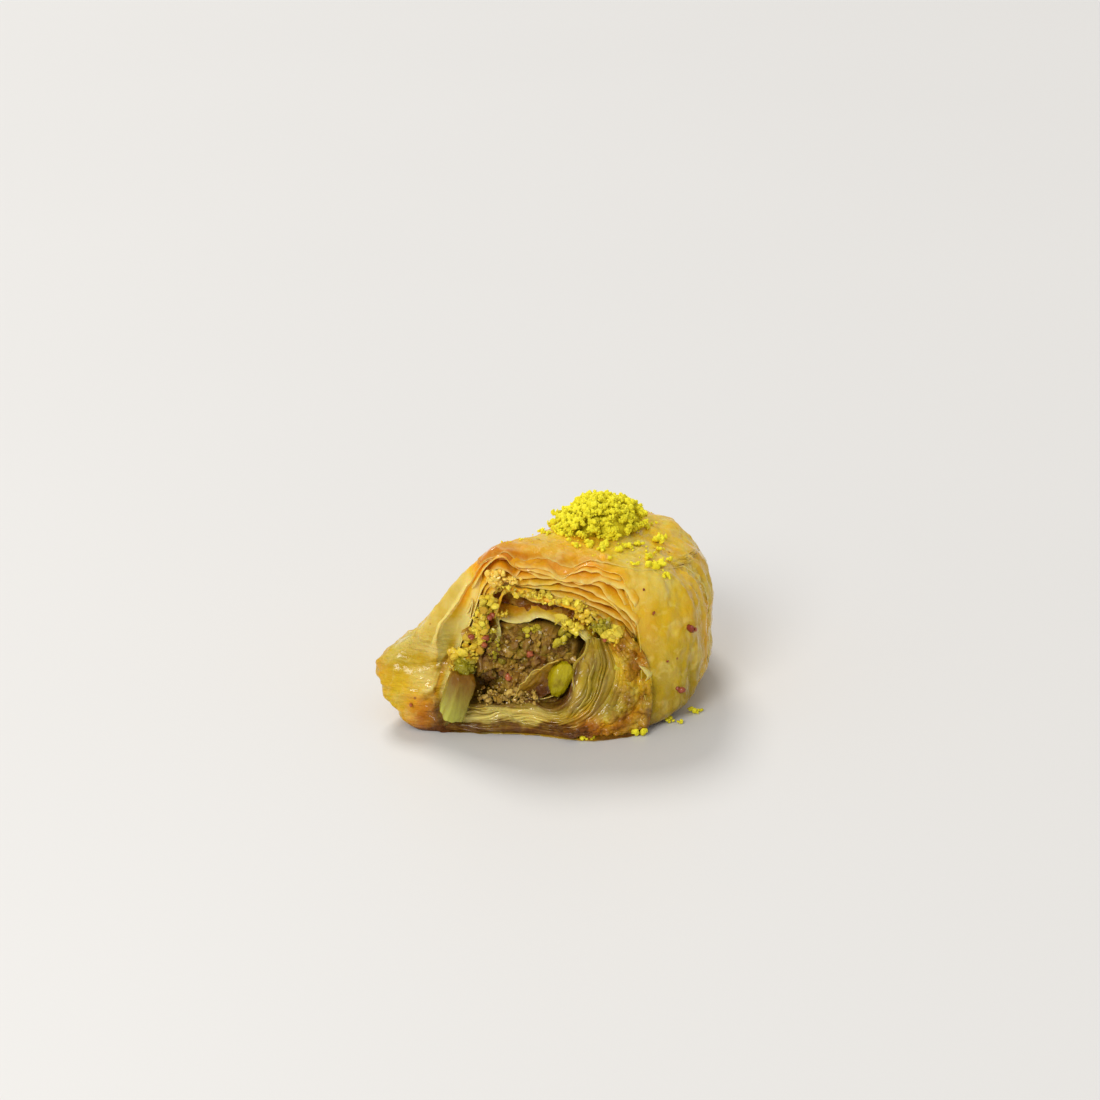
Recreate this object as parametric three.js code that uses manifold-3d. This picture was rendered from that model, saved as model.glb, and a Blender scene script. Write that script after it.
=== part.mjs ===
// A folded baklava piece: a stack of thin pastry leaves folded over a nut filling into a three-cornered parcel.
// It is open like a mouth along its front (-Y), its two noses lie at the front left and at the back,
// and ground pistachio is heaped on top. Millimetres, +Z up, origin under the middle of the whole piece.
import * as THREE from "three";
import { mergeVertices } from "three/addons/utils/BufferGeometryUtils.js";
import Module from "manifold-3d";

const wasm = await Module();
wasm.setup();

// ---- Driving sizes ------------------------------------------------------------------------------------------

const GAP = 0.3; // air between two neighbouring pieces
const CRUMB_STEP = 0.35; // how far crumbs may stand out past the bare sides of a filling
const ROUND_CRUMB = 2.2; // a crumb of this size or more has twenty faces, a smaller one eight
const OUTER_LEAVES = 6; // leaf edges that stand out in relief round the mouth
const INNER_LEAVES = 3; // and those of the inner roll, looser and deeper
const LEAF_RELIEF = 0.55; // half the depth of the groove between two leaf edges
const MOUTH_RECESS = 2.6; // how far the innermost outer leaf lies behind the outermost
const FACE_LEAN = 0.18; // how much the open face leans back, per millimetre of height
const CRUST = { bulge: 3.6, x: 9, spread: 9, height: 16 }; // the bottom crust that stands out in front
const NOSE = { bulge: 3.9, x: -30, spread: 7 }; // how the foot of the nose comes forward beside the mouth
const FACE_SIDES = { x: 2, flat: 14, wide: 18, back: 3.5 }; // how the open face curves back at its two sides
const WRINKLE = { length: 11, face: 0.35, skin: 0.45 }; // soft unevenness of the leaves
const CENTRE_SHIFT = { x: 0.1, y: -0.25 }; // brings the middle of the whole piece over the origin

// A section is a closed curve round its crest: y is its place, left and right its reach to both sides of the
// crest, waist the height where it is widest, toe how far the nose swells out at the left, slope and shoulder
// how square its left and right upper corners are, and sole its lowest height.
function section(y, crestX, crest, left, right, waist, toe, slope, shoulder, sole) {
  return { y, crestX, crest, left, right, waist, toe, slope, shoulder, sole };
}

// The parcel's sections from the rim of the mouth to the back nose. What falls below the ground is cut off.
const STATIONS = [
  section(-37.0, -10.5, 36.8, 11.0, 31.5, 14, 0.0, 1.2, 5.0, 0.8),
  section(-34.5, -10.8, 38.9, 17.5, 39.5, 15, 5.5, 1.25, 4.0, -1.2),
  section(-29.5, -9.5, 39.4, 20.0, 42.0, 15, 6.6, 1.25, 3.6, -1.2),
  section(-22.0, -5.0, 38.8, 23.0, 39.5, 15, 5.0, 1.3, 3.3, -1.2),
  section(-12.0, 4.0, 37.7, 29.0, 32.5, 15, 1.5, 1.4, 3.0, -1.2),
  section(2.0, 14.0, 36.9, 28.5, 22.5, 15, 0.0, 1.5, 2.8, -1.2),
  section(15.0, 18.5, 32.0, 22.0, 15.5, 13, 0.0, 1.6, 2.5, -1.2),
  section(28.0, 20.5, 23.5, 13.0, 9.5, 10, 0.0, 1.8, 2.3, -0.8),
  section(36.5, 21.5, 16.0, 7.0, 6.5, 8, 0.0, 2.0, 2.1, 0.6),
  section(40.0, 22.0, 11.0, 3.0, 3.0, 7, 0.0, 2.0, 2.0, 3.0),
];
// The innermost outer leaf round the mouth, and the edge of the inner roll about the filling.
const CORE = section(-37, -9.5, 31.5, 6.5, 28, 13, 0, 1.3, 2, 3.4);
const ROLL = section(-37, -6, 23.2, 9.6, 15, 13.5, 0, 2.4, 2.6, 4.4);
const TAIL_TIP = 1.2; // how far the back nose's tip lies past its last section
const TOP_TILT = 0.1; // the top falls to the right by this much per millimetre
const FOOT_SQUARENESS = 4.5; // how square the corners along the bottom are
const QUARTER_POINTS = { rightTop: 20, leftTop: 14, leftBottom: 11, rightBottom: 16 };
const SKIN_RINGS = 13;
// The nose swells out most at this height and less towards its top and its foot.
const TOE = { height: 12.3, above: 4.2, below: 17 };

// The two rooms for the filling. Both run back inside the parcel and shrink towards its back nose.
const ROOM_BACK = { y: 23, x: 20.5, scale: 0.55, floor: 3.5 };
const ROOM_FRONT = { y: -48, x: -2, straight: 18 };
const UPPER_ROOM = { fromX: -11.6, toX: 17.5, height: 27.7, drop: 9.5, half: 2.2 };
const LOWER_ROOM = { x: -3.8, z: 13.6, left: 11.0, right: 10.6, up: 9.2, down: 8.2, square: 2.8, tilt: 0.12 };

// What shows of the filling, and what lies on top.
const FILLING_FRONT = { upper: -31.5, lower: -31.0 };
const HEAP = { x: 11.2, y: -7.5, radius: 9.5, height: 6.1, base: 35.2, lean: 1.1 };
const KERNELS = [
  { name: "kernel_pale", at: [-18.6, -36.8, 8.0], size: [6.9, 6.4, 10.4], turn: [0.15, 0.22, 0.25] },
  { name: "kernel_bright", at: [3.0, -33.9, 11.8], size: [4.6, 5.2, 8.2], turn: [0, 0.34, 0.2] },
  { name: "kernel_green", at: [-17.2, -35.4, 14.6], size: [3.5, 4.4, 4.3], turn: [0.2, -0.2, 0] },
];

// ---- Small tools --------------------------------------------------------------------------------------------

const mix = (a, b, t) => a + (b - a) * t;
const smooth = (t) => t * t * (3 - 2 * t);
const clamp01 = (t) => Math.min(1, Math.max(0, t));

// A repeatable stream of numbers from 0 to 1.
function dice(seed) {
  let state = seed >>> 0;
  return () => {
    state = (state + 0x6d2b79f5) >>> 0;
    let t = Math.imul(state ^ (state >>> 15), 1 | state);
    t = (t + Math.imul(t ^ (t >>> 7), 61 | t)) ^ t;
    return ((t ^ (t >>> 14)) >>> 0) / 4294967296;
  };
}

// Smooth unevenness of about -1 to 1, with waves about `length` millimetres long.
function unevenness(x, y, z, length) {
  const k = (2 * Math.PI) / length;
  return (
    (Math.sin(k * (x + 0.4 * z) + 1.3 * Math.sin(k * 0.6 * y)) +
      Math.sin(k * (0.8 * y - 0.5 * x) + 1.7 * Math.sin(k * 0.5 * z + 1)) +
      Math.sin(k * (0.9 * z + 0.3 * y) + 2.1)) / 3
  );
}

// A value of `key` at place t (0 to 1) along the stations, on a smooth curve through them.
function alongStations(key, t) {
  const s = t * (STATIONS.length - 1);
  const i = Math.min(STATIONS.length - 2, Math.floor(s));
  const at = (j) => STATIONS[Math.min(STATIONS.length - 1, Math.max(0, j))][key];
  const [a, b, c, d, u] = [at(i - 1), at(i), at(i + 1), at(i + 2), s - i];
  return b + 0.5 * u * (c - a + u * (2 * a - 5 * b + 4 * c - d + u * (3 * (b - c) + d - a)));
}

function blendSections(a, b, t) {
  return Object.fromEntries(Object.keys(a).map((key) => [key, mix(a[key], b[key], t)]));
}

// A geometry as a manifold-3d solid, and back.
function solidOf(geometry) {
  const bare = new THREE.BufferGeometry();
  bare.setAttribute("position", geometry.getAttribute("position"));
  bare.setIndex(geometry.index);
  const merged = mergeVertices(bare, 1e-4);
  return new wasm.Manifold(
    new wasm.Mesh({
      numProp: 3,
      vertProperties: new Float32Array(merged.attributes.position.array),
      triVerts: new Uint32Array(merged.index.array),
    }),
  );
}

function geometryOf(solid) {
  const mesh = solid.getMesh();
  const geometry = new THREE.BufferGeometry();
  geometry.setAttribute("position", new THREE.BufferAttribute(mesh.vertProperties, 3));
  geometry.setIndex(new THREE.BufferAttribute(mesh.triVerts, 1));
  geometry.computeVertexNormals();
  return geometry;
}

// The largest body of a solid, so that a scrap left by a cut is dropped.
function mainBody(solid) {
  return solid.decompose().reduce((best, body) => (body.volume() > best.volume() ? body : best));
}

// Closed rings of equally many points, joined in order and capped at both ends by a fan to `caps`' two points.
function loft(rings, caps) {
  const count = rings[0].length;
  const points = [...rings.flat(), ...caps];
  const [firstCap, lastCap] = [points.length - 2, points.length - 1];
  const faces = [];
  for (let r = 0; r + 1 < rings.length; r++) {
    for (let k = 0; k < count; k++) {
      const [a, b] = [r * count + k, r * count + ((k + 1) % count)];
      faces.push(a, a + count, b, b, a + count, b + count);
    }
  }
  const last = (rings.length - 1) * count;
  for (let k = 0; k < count; k++) {
    const next = (k + 1) % count;
    faces.push(firstCap, k, next);
    faces.push(lastCap, last + next, last + k);
  }
  const geometry = new THREE.BufferGeometry().setFromPoints(points);
  geometry.setIndex(faces);
  const solid = solidOf(geometry);
  return solid.volume() > 0 ? solid : solidOf(flipped(geometry));
}

function flipped(geometry) {
  const index = Array.from(geometry.index.array);
  for (let i = 0; i < index.length; i += 3) [index[i + 1], index[i + 2]] = [index[i + 2], index[i + 1]];
  geometry.setIndex(index);
  return geometry;
}

// ---- The parcel's own form ----------------------------------------------------------------------------------

// One quarter of a section from turn `from`, as `count` points evenly spaced along it, [x, z] each.
function quarter(section, from, count) {
  const fine = 160;
  const upper = from < Math.PI;
  const leftwards = from >= Math.PI / 2 && from < Math.PI * 1.5;
  const squareness = upper ? (leftwards ? section.slope : section.shoulder) : FOOT_SQUARENESS;
  const reach = leftwards ? -section.left : section.right;
  const rise = upper ? section.crest - section.waist : section.sole - section.waist;
  const curve = [];
  for (let i = 0; i <= fine; i++) {
    const turn = from + (i / fine) * (Math.PI / 2);
    const across = Math.abs(Math.cos(turn)) ** (2 / squareness);
    const up = Math.abs(Math.sin(turn)) ** (2 / squareness);
    let x = section.crestX + reach * across;
    let z = section.waist + rise * up;
    if (!leftwards && upper) z -= TOP_TILT * reach * across * Math.abs(Math.sin(turn));
    const fade = z > TOE.height ? TOE.above : TOE.below;
    if (leftwards) x -= section.toe * across ** 2 * Math.exp(-(((z - TOE.height) / fade) ** 2));
    curve.push(new THREE.Vector2(x, z));
  }
  const lengths = curve.map((p, i) => (i ? p.distanceTo(curve[i - 1]) : 0));
  lengths.forEach((_, i) => i && (lengths[i] += lengths[i - 1]));
  const out = [];
  let j = 0;
  for (let k = 0; k < count; k++) {
    const wanted = (k / count) * lengths[fine];
    while (lengths[j + 1] < wanted) j++;
    const share = (wanted - lengths[j]) / (lengths[j + 1] - lengths[j]);
    out.push(curve[j].clone().lerp(curve[j + 1], share));
  }
  return out;
}

// A whole ring. `back` moves it behind its own place, and `front` (0 to 1) is how far it belongs to the face.
function ring(section, back, front) {
  const flat = [
    ...quarter(section, 0, QUARTER_POINTS.rightTop),
    ...quarter(section, Math.PI / 2, QUARTER_POINTS.leftTop),
    ...quarter(section, Math.PI, QUARTER_POINTS.leftBottom),
    ...quarter(section, Math.PI * 1.5, QUARTER_POINTS.rightBottom),
  ];
  return flat.map(({ x, y: z }) => {
    const low = clamp01(1 - z / CRUST.height);
    const crust = CRUST.bulge * low * Math.exp(-(((x - CRUST.x) / CRUST.spread) ** 2));
    const aside = (Math.abs(x - FACE_SIDES.x) - FACE_SIDES.flat) / FACE_SIDES.wide;
    const sides = FACE_SIDES.back * clamp01(aside) ** 1.5;
    const nose = NOSE.bulge * low * Math.exp(-(((x - NOSE.x) / NOSE.spread) ** 2));
    const y = section.y + back + front * (FACE_LEAN * z + sides - crust - nose);
    const wave = unevenness(x, y, z, WRINKLE.length) * clamp01(z / 4);
    return new THREE.Vector3(x, y + WRINKLE.face * wave * front, z + WRINKLE.skin * wave * (1 - front));
  });
}

// Grooved rings from one leaf edge to the next, `outer` to `inner`, in `leaves` steps, lying behind each other.
function leafRings(outer, inner, leaves, fromBack, toBack, relief) {
  const rings = [];
  for (let k = 0; k < 2 * leaves; k++) {
    const t = k / (2 * leaves);
    const inOut = k % 2 ? relief : -relief;
    rings.push(ring(blendSections(outer, inner, t), mix(fromBack, toBack, t) + inOut, 1));
  }
  return rings;
}

function parcelBody() {
  const rim = STATIONS[0];
  const rings = [
    ...leafRings(rim, CORE, OUTER_LEAVES, 0, MOUTH_RECESS, LEAF_RELIEF),
    ...leafRings(CORE, ROLL, INNER_LEAVES, MOUTH_RECESS, MOUTH_RECESS * 0.6, LEAF_RELIEF * 1.3),
    ring(ROLL, MOUTH_RECESS * 0.6, 1),
  ].reverse();
  for (let r = 1; r <= SKIN_RINGS; r++) {
    const t = (r / SKIN_RINGS) ** 1.15;
    const section = Object.fromEntries(Object.keys(rim).map((key) => [key, alongStations(key, t)]));
    rings.push(ring(section, 0, 1 - smooth(clamp01(t * 2))));
  }
  const { x, z } = LOWER_ROOM;
  const inside = new THREE.Vector3(x, ROLL.y + MOUTH_RECESS + FACE_LEAN * z, z);
  const tail = STATIONS[STATIONS.length - 1];
  const whole = loft(rings, [inside, new THREE.Vector3(tail.crestX, tail.y + TAIL_TIP, tail.waist)]);
  return whole.subtract(solidOf(new THREE.BoxGeometry(200, 200, 20).translate(0, 0, -10)));
}

// ---- The filling's two rooms --------------------------------------------------------------------------------

// Moves a point of a room's front outline back along the room to y.
function alongRoom(x, z, y) {
  const bend = ROOM_FRONT.y + ROOM_FRONT.straight;
  const t = clamp01((y - bend) / (ROOM_BACK.y - bend));
  const scale = mix(1, ROOM_BACK.scale, smooth(t));
  const middle = mix(ROOM_FRONT.x, ROOM_BACK.x, t);
  const height = ROOM_BACK.floor + (z - ROOM_BACK.floor) * scale;
  return new THREE.Vector3(middle + (x - ROOM_FRONT.x) * scale, y, height);
}

// The flat, arched outline between the top leaves and the inner sheet, drawn in by `inset`.
function upperOutline(inset, count = 28) {
  const { fromX, toX, height, drop, half } = UPPER_ROOM;
  const outline = [];
  for (let k = 0; k < count; k++) {
    const turn = (2 * Math.PI * k) / count;
    const along = 0.5 - 0.5 * Math.cos(turn);
    const side = Math.sin(turn);
    const x = mix(fromX + inset, toX - inset, along);
    const middle = height - drop * along ** 2;
    const thick = (half - inset) * Math.sign(side) * Math.abs(side) ** 0.6;
    outline.push([x, middle + thick + 0.25 * Math.sin(x * 0.9)]);
  }
  return outline;
}

function lowerOutline(inset, count = 30) {
  const room = LOWER_ROOM;
  const outline = [];
  for (let k = 0; k < count; k++) {
    const turn = (2 * Math.PI * k) / count;
    const [c, s] = [Math.cos(turn), Math.sin(turn)];
    const across = Math.sign(c) * Math.abs(c) ** (2 / room.square);
    const up = Math.sign(s) * Math.abs(s) ** (2 / room.square);
    const x = room.x + across * ((c > 0 ? room.right : room.left) - inset);
    const z = room.z + up * ((s > 0 ? room.up : room.down) - inset);
    outline.push([x, z - room.tilt * (x - room.x)]);
  }
  return outline;
}

// A room or its filling: the outline swept from y `front` to the room's back end.
function swept(outline, front, back, steps = 5) {
  const rings = [];
  const count = outline.length;
  for (let r = 0; r <= steps; r++) {
    const y = mix(front, back, r / steps);
    rings.push(outline.map(([x, z]) => alongRoom(x, z, y)));
  }
  const middle = (points) => points.reduce((sum, p) => sum.add(p), new THREE.Vector3()).divideScalar(count);
  return loft(rings, [middle(rings[0]), middle(rings[steps])]);
}

// ---- Crumbs, kernels and the heap ---------------------------------------------------------------------------

// A crumb is an icosahedron or octahedron knocked out of shape.
function crumb(centre, size, roll, round) {
  const shape = round ? new THREE.IcosahedronGeometry(size / 2) : new THREE.OctahedronGeometry(size / 2);
  shape.scale(0.85 + 0.5 * roll(), 0.8 + 0.4 * roll(), 0.75 + 0.4 * roll());
  shape.rotateX(roll() * Math.PI);
  shape.rotateZ(roll() * Math.PI);
  shape.translate(centre.x, centre.y, centre.z);
  return solidOf(shape);
}

// A pistachio kernel or a chip of one: an egg with one flattened cheek. `grow` widens it all round.
function kernelSolid({ at, size, turn }, grow = 0) {
  const shape = new THREE.SphereGeometry(1, 12, 8);
  const position = shape.getAttribute("position");
  for (let i = 0; i < position.count; i++) {
    const [x, y, z] = [position.getX(i), position.getY(i), position.getZ(i)];
    const egg = 1 - 0.18 * z;
    const cheek = Math.max(y, -0.55) * egg;
    position.setXYZ(i, x * egg * (size[0] / 2 + grow), cheek * (size[1] / 2 + grow), z * (size[2] / 2 + grow));
  }
  shape.rotateX(turn[0]).rotateY(turn[1]).rotateZ(turn[2]);
  shape.translate(...at);
  return solidOf(shape);
}

// Crumbs scattered by `place`, which turns two rolls into a point, added to a solid.
function withCrumbs(solid, count, seed, smallest, largest, place) {
  const roll = dice(seed);
  let out = solid;
  for (let i = 0; i < count; i++) {
    const size = mix(smallest, largest, roll() ** 2);
    out = out.add(crumb(place(roll(), roll(), size), size, roll, size > ROUND_CRUMB));
  }
  return out;
}

// The height of the parcel's top over (x, y), found by a thin probe.
function topFinder(body) {
  const mesh = body.getMesh();
  const geometry = new THREE.BufferGeometry();
  geometry.setAttribute("position", new THREE.BufferAttribute(mesh.vertProperties, 3));
  geometry.setIndex(new THREE.BufferAttribute(mesh.triVerts, 1));
  const target = new THREE.Mesh(geometry, new THREE.MeshBasicMaterial({ side: THREE.DoubleSide }));
  const ray = new THREE.Raycaster();
  return (x, y) => {
    ray.set(new THREE.Vector3(x, y, 100), new THREE.Vector3(0, 0, -1));
    const hit = ray.intersectObject(target)[0];
    return hit ? hit.point.z : 0;
  };
}

// The heap of ground pistachio: a knobbly dome with loose grains on it, cut to lie on the parcel.
function heapSolid(below, topAt) {
  const rings = [];
  const [around, rows] = [32, 8];
  const foot = HEAP.base - 4;
  const peak = topAt(HEAP.x, HEAP.y) + HEAP.height;
  for (let r = 0; r < rows; r++) {
    const steepness = ((r / rows) * Math.PI) / 2;
    const points = [];
    for (let k = 0; k < around; k++) {
      const turn = (2 * Math.PI * k) / around;
      const lobes = 1 + 0.13 * Math.sin(2 * turn + 0.5) + 0.08 * Math.sin(5 * turn) + 0.05 * Math.sin(9 * turn);
      const reach = HEAP.radius * lobes * Math.cos(steepness);
      const x = HEAP.x + HEAP.lean * Math.sin(steepness) + reach * Math.cos(turn);
      const y = HEAP.y + reach * Math.sin(turn);
      const z = mix(topAt(x, y), peak, Math.sin(steepness));
      points.push(new THREE.Vector3(x, y, r ? z + 0.5 * unevenness(x, y, z, 3.4) : foot));
    }
    rings.push(points);
  }
  const caps = [new THREE.Vector3(HEAP.x, HEAP.y, foot), new THREE.Vector3(HEAP.x + HEAP.lean, HEAP.y, peak)];
  const dome = loft(rings, caps);
  const grains = withCrumbs(dome, 70, 11, 1.4, 3.0, (a, b) => {
    const turn = 2 * Math.PI * a;
    const share = Math.sqrt(b) * 0.97;
    const reach = HEAP.radius * share;
    const steep = Math.sqrt(1 - share ** 2);
    const [x, y] = [HEAP.x + HEAP.lean * steep + reach * Math.cos(turn), HEAP.y + reach * Math.sin(turn)];
    return new THREE.Vector3(x, y, mix(topAt(x, y), peak, steep) + 0.1);
  });
  return grains.subtract(below.translate([0, 0, GAP]));
}

// ---- The nodes ----------------------------------------------------------------------------------------------

function material(colour, roughness) {
  return new THREE.MeshStandardMaterial({ color: colour, roughness, metalness: 0 });
}

const FINISH = {
  pastry: material(0xd9a648, 0.32),
  nuts: material(0x9a7a3c, 0.75),
  paste: material(0x8a6a46, 0.6),
  kernel: material(0xa9b83a, 0.4),
  heap: material(0xb4bd2e, 0.85),
};

const body = parcelBody();
const topAt = topFinder(body);
const upperRoom = swept(upperOutline(0), ROOM_FRONT.y, ROOM_BACK.y);
const lowerRoom = swept(lowerOutline(0), ROOM_FRONT.y, ROOM_BACK.y);
const kernels = KERNELS.map((kernel) => ({ name: kernel.name, solid: kernelSolid(kernel) }));
const kernelPockets = KERNELS.map((kernel) => kernelSolid(kernel, GAP));
const withoutKernels = (solid) => kernelPockets.reduce((left, pocket) => left.subtract(pocket), solid);

// Crumbs of the heap that rolled off over the top of the parcel, most of them forwards and to the right.
const strewn = withCrumbs(body, 30, 5, 1.1, 2.5, (a, b, size) => {
  const turn = mix(-1.15, 0.2, a) * Math.PI;
  const reach = HEAP.radius * (1.25 + 0.85 * b * (1 - 0.5 * Math.abs(Math.cos(turn))));
  const x = HEAP.x + 1.1 * reach * Math.cos(turn);
  const y = HEAP.y + reach * Math.sin(turn);
  return new THREE.Vector3(x, y, topAt(x, y) + size * 0.2);
});
const pastry = withoutKernels(strewn.subtract(upperRoom).subtract(lowerRoom));

// A filling: its room's outline drawn in by the gap, with crumbs on its front that keep inside the room.
function fillingIn(outline, front, crumbs) {
  const back = ROOM_BACK.y - GAP;
  const core = swept(outline(GAP + CRUMB_STEP), front, back);
  const rough = withCrumbs(core, crumbs.count, crumbs.seed, crumbs.smallest, crumbs.largest, crumbs.place);
  return withoutKernels(rough.intersect(swept(outline(GAP), ROOM_FRONT.y, back)));
}

const nutLayer = fillingIn(upperOutline, FILLING_FRONT.upper, {
  count: 26,
  seed: 22,
  smallest: 1.8,
  largest: 3.4,
  place: (a, b) => {
    const along = mix(0.05, 0.95, a);
    const z = UPPER_ROOM.height - UPPER_ROOM.drop * along ** 2 + (b - 0.5) * 2.2;
    return new THREE.Vector3(mix(UPPER_ROOM.fromX, UPPER_ROOM.toX, along), FILLING_FRONT.upper, z);
  },
});

const filling = fillingIn(lowerOutline, FILLING_FRONT.lower, {
  count: 52,
  seed: 31,
  smallest: 1.9,
  largest: 4.4,
  place: (a, b, size) => {
    const [turn, share] = [2 * Math.PI * a, Math.sqrt(b)];
    const x = LOWER_ROOM.x + 9.4 * share * Math.cos(turn);
    const z = LOWER_ROOM.z + 7.2 * share * Math.sin(turn);
    return new THREE.Vector3(x, FILLING_FRONT.lower - 0.25 * size + 0.8, z);
  },
});

const piece = new THREE.Group();

function addNode(name, solid, finish) {
  const mesh = new THREE.Mesh(geometryOf(mainBody(solid)), finish);
  mesh.name = name;
  piece.add(mesh);
}

addNode("pastry", pastry, FINISH.pastry);
addNode("nut_layer", nutLayer, FINISH.nuts);
addNode("filling", filling, FINISH.paste);
addNode("pistachio_heap", heapSolid(strewn, topAt), FINISH.heap);
kernels.forEach(({ name, solid }) => addNode(name, solid, FINISH.kernel));
piece.position.set(CENTRE_SHIFT.x, CENTRE_SHIFT.y, 0);

export default piece;
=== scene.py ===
import math

import bmesh
import bpy
import mathutils
import numpy as np
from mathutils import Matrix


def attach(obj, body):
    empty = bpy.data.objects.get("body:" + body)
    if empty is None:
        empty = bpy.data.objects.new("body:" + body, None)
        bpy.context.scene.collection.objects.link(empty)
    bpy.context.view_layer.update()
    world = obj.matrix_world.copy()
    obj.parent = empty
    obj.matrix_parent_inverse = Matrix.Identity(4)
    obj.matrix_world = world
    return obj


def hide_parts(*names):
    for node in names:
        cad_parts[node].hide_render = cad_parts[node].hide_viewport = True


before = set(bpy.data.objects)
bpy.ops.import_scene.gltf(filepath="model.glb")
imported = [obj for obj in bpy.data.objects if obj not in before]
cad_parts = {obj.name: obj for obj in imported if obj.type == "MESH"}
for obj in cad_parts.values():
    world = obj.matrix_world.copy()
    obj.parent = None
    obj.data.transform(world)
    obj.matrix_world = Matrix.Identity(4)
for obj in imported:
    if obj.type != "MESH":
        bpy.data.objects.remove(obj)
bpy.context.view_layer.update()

# A folded baklava piece: thin syrupy leaves round a nut filling, with pistachio kernels and a heap of
# ground pistachio. Forms are worked out in millimetres and turned into metres when a mesh is made.
millimetre = 0.001
centreShift = np.array([0.1, -0.25, 0.0])


def stage(words):
    print("baklava:", words, flush=True)


def mix(a, b, t):
    return a + (b - a) * t


def clamp(t, low=0.0, high=1.0):
    return np.minimum(high, np.maximum(low, t))


def smooth(t):
    t = clamp(t)
    return t * t * (3 - 2 * t)


def band(value, low, high, soft):
    # 1 between low and high, falling to 0 over `soft` on both sides
    return smooth((value - low) / soft + 1) * smooth((high - value) / soft + 1)


def peak(value, at, wide):
    # 1 at `at`, fading over `wide` on both sides
    return np.exp(-(((value - at) / wide) ** 2))


def spot(x, z, at, size):
    # a round patch of the face: 1 in its middle, fading over its size
    return np.exp(-(((x - at[0]) / size[0]) ** 2) - ((z - at[1]) / size[1]) ** 2)


def xyz(x, y, z):
    return np.stack(np.broadcast_arrays(x, y, z), axis=-1)


def unit(vectors):
    return vectors / np.linalg.norm(vectors, axis=-1, keepdims=True)


def softNoise(points, size, seed=0):
    # lumps about `size` across, from -1 to 1; size may be one number or three
    p = np.asarray(points, dtype=float) / np.asarray(size, dtype=float) + 500.0
    cell = np.floor(p).astype(np.int64)
    part = p - cell
    part = part * part * (3 - 2 * part)
    total = np.zeros(p.shape[:-1])
    for corner in range(8):
        step = np.array([corner & 1, (corner >> 1) & 1, corner >> 2])
        c = cell + step
        mixed = (c[..., 0] * 73856093) ^ (c[..., 1] * 19349663) ^ (c[..., 2] * 83492791)
        mixed = mixed ^ (seed * 49979687 + 12345)
        mixed = ((mixed ^ (mixed >> 13)) * 1274126177) & 0xFFFFFFFF
        mixed = (mixed ^ (mixed >> 15)) & 0xFFFF
        weight = np.prod(np.where(step, part, 1 - part), axis=-1)
        total += weight * (mixed / 32767.5 - 1)
    return total


def roughNoise(points, size, seed=0, octaves=3):
    # soft noise with finer and weaker lumps on top
    size = np.asarray(size, dtype=float)
    return sum(softNoise(points, size / 2 ** i, seed + 17 * i) * 0.55 ** i for i in range(octaves))


def creases(points, size, seed=0, turn=0.5):
    # wandering folds with sharp backs, about `size` apart, from -1 to 1
    size = np.asarray(size, dtype=float) * np.ones(3)
    wander = xyz(*(softNoise(points, size * 1.1, seed + 40 + axis) for axis in range(3)))
    moved = np.asarray(points, dtype=float) + wander * size * 0.5
    c, s = math.cos(turn), math.sin(turn)
    x, y, z = moved[..., 0], moved[..., 1], moved[..., 2]
    turned = xyz(x * c + z * s, y, z * c - x * s)
    return 1 - 2.5 * np.sqrt(softNoise(turned, size, seed) ** 2 + 0.008)


def makeMesh(name, vertices, faces, fields=None, material=None, flat=False):
    # faces is a list of arrays, each of faces with equally many corners
    mesh = bpy.data.meshes.new(name)
    place = (np.asarray(vertices).reshape(-1, 3) + centreShift) * millimetre
    corners = np.concatenate([f.reshape(-1) for f in faces]).astype(np.int32)
    totals = np.concatenate([np.full(len(f), f.shape[1]) for f in faces]).astype(np.int32)
    starts = np.concatenate([[0], np.cumsum(totals)[:-1]]).astype(np.int32)
    mesh.vertices.add(len(place))
    mesh.vertices.foreach_set("co", place.astype(np.float32).reshape(-1))
    mesh.loops.add(len(corners))
    mesh.loops.foreach_set("vertex_index", corners)
    mesh.polygons.add(len(totals))
    mesh.polygons.foreach_set("loop_start", starts)
    mesh.polygons.foreach_set("loop_total", totals)
    mesh.polygons.foreach_set("use_smooth", np.full(len(totals), not flat))
    for key, values in (fields or {}).items():
        layer = mesh.attributes.new(key, "FLOAT", "POINT")
        layer.data.foreach_set("value", np.asarray(values, dtype=np.float32).reshape(-1))
    mesh.update(calc_edges=True)
    mesh.validate()
    piece = bpy.data.objects.new(name, mesh)
    bpy.context.scene.collection.objects.link(piece)
    if material:
        mesh.materials.append(material)
    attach(piece, "root")
    return piece


def gridFaces(rows, columns, closeRows=False, closeColumns=False):
    # the four-cornered faces of a grid of points, row by row
    r = np.arange(rows if closeRows else rows - 1)[:, None]
    c = np.arange(columns if closeColumns else columns - 1)[None, :]
    a = r * columns + c
    b = r * columns + (c + 1) % columns
    d = ((r + 1) % rows) * columns + c
    e = ((r + 1) % rows) * columns + (c + 1) % columns
    return np.stack(np.broadcast_arrays(a, d, e, b), axis=-1).reshape(-1, 4)


def gridNormals(grid, closeColumns):
    # away from the middle where columns run round to the left over the top and rows run back
    if closeColumns:
        across = np.roll(grid, -1, axis=1) - np.roll(grid, 1, axis=1)
    else:
        across = np.gradient(grid, axis=1)
    along = np.gradient(grid, axis=0)
    normal = np.cross(along, across)
    return normal / np.maximum(np.linalg.norm(normal, axis=-1, keepdims=True), 1e-9)


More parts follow.
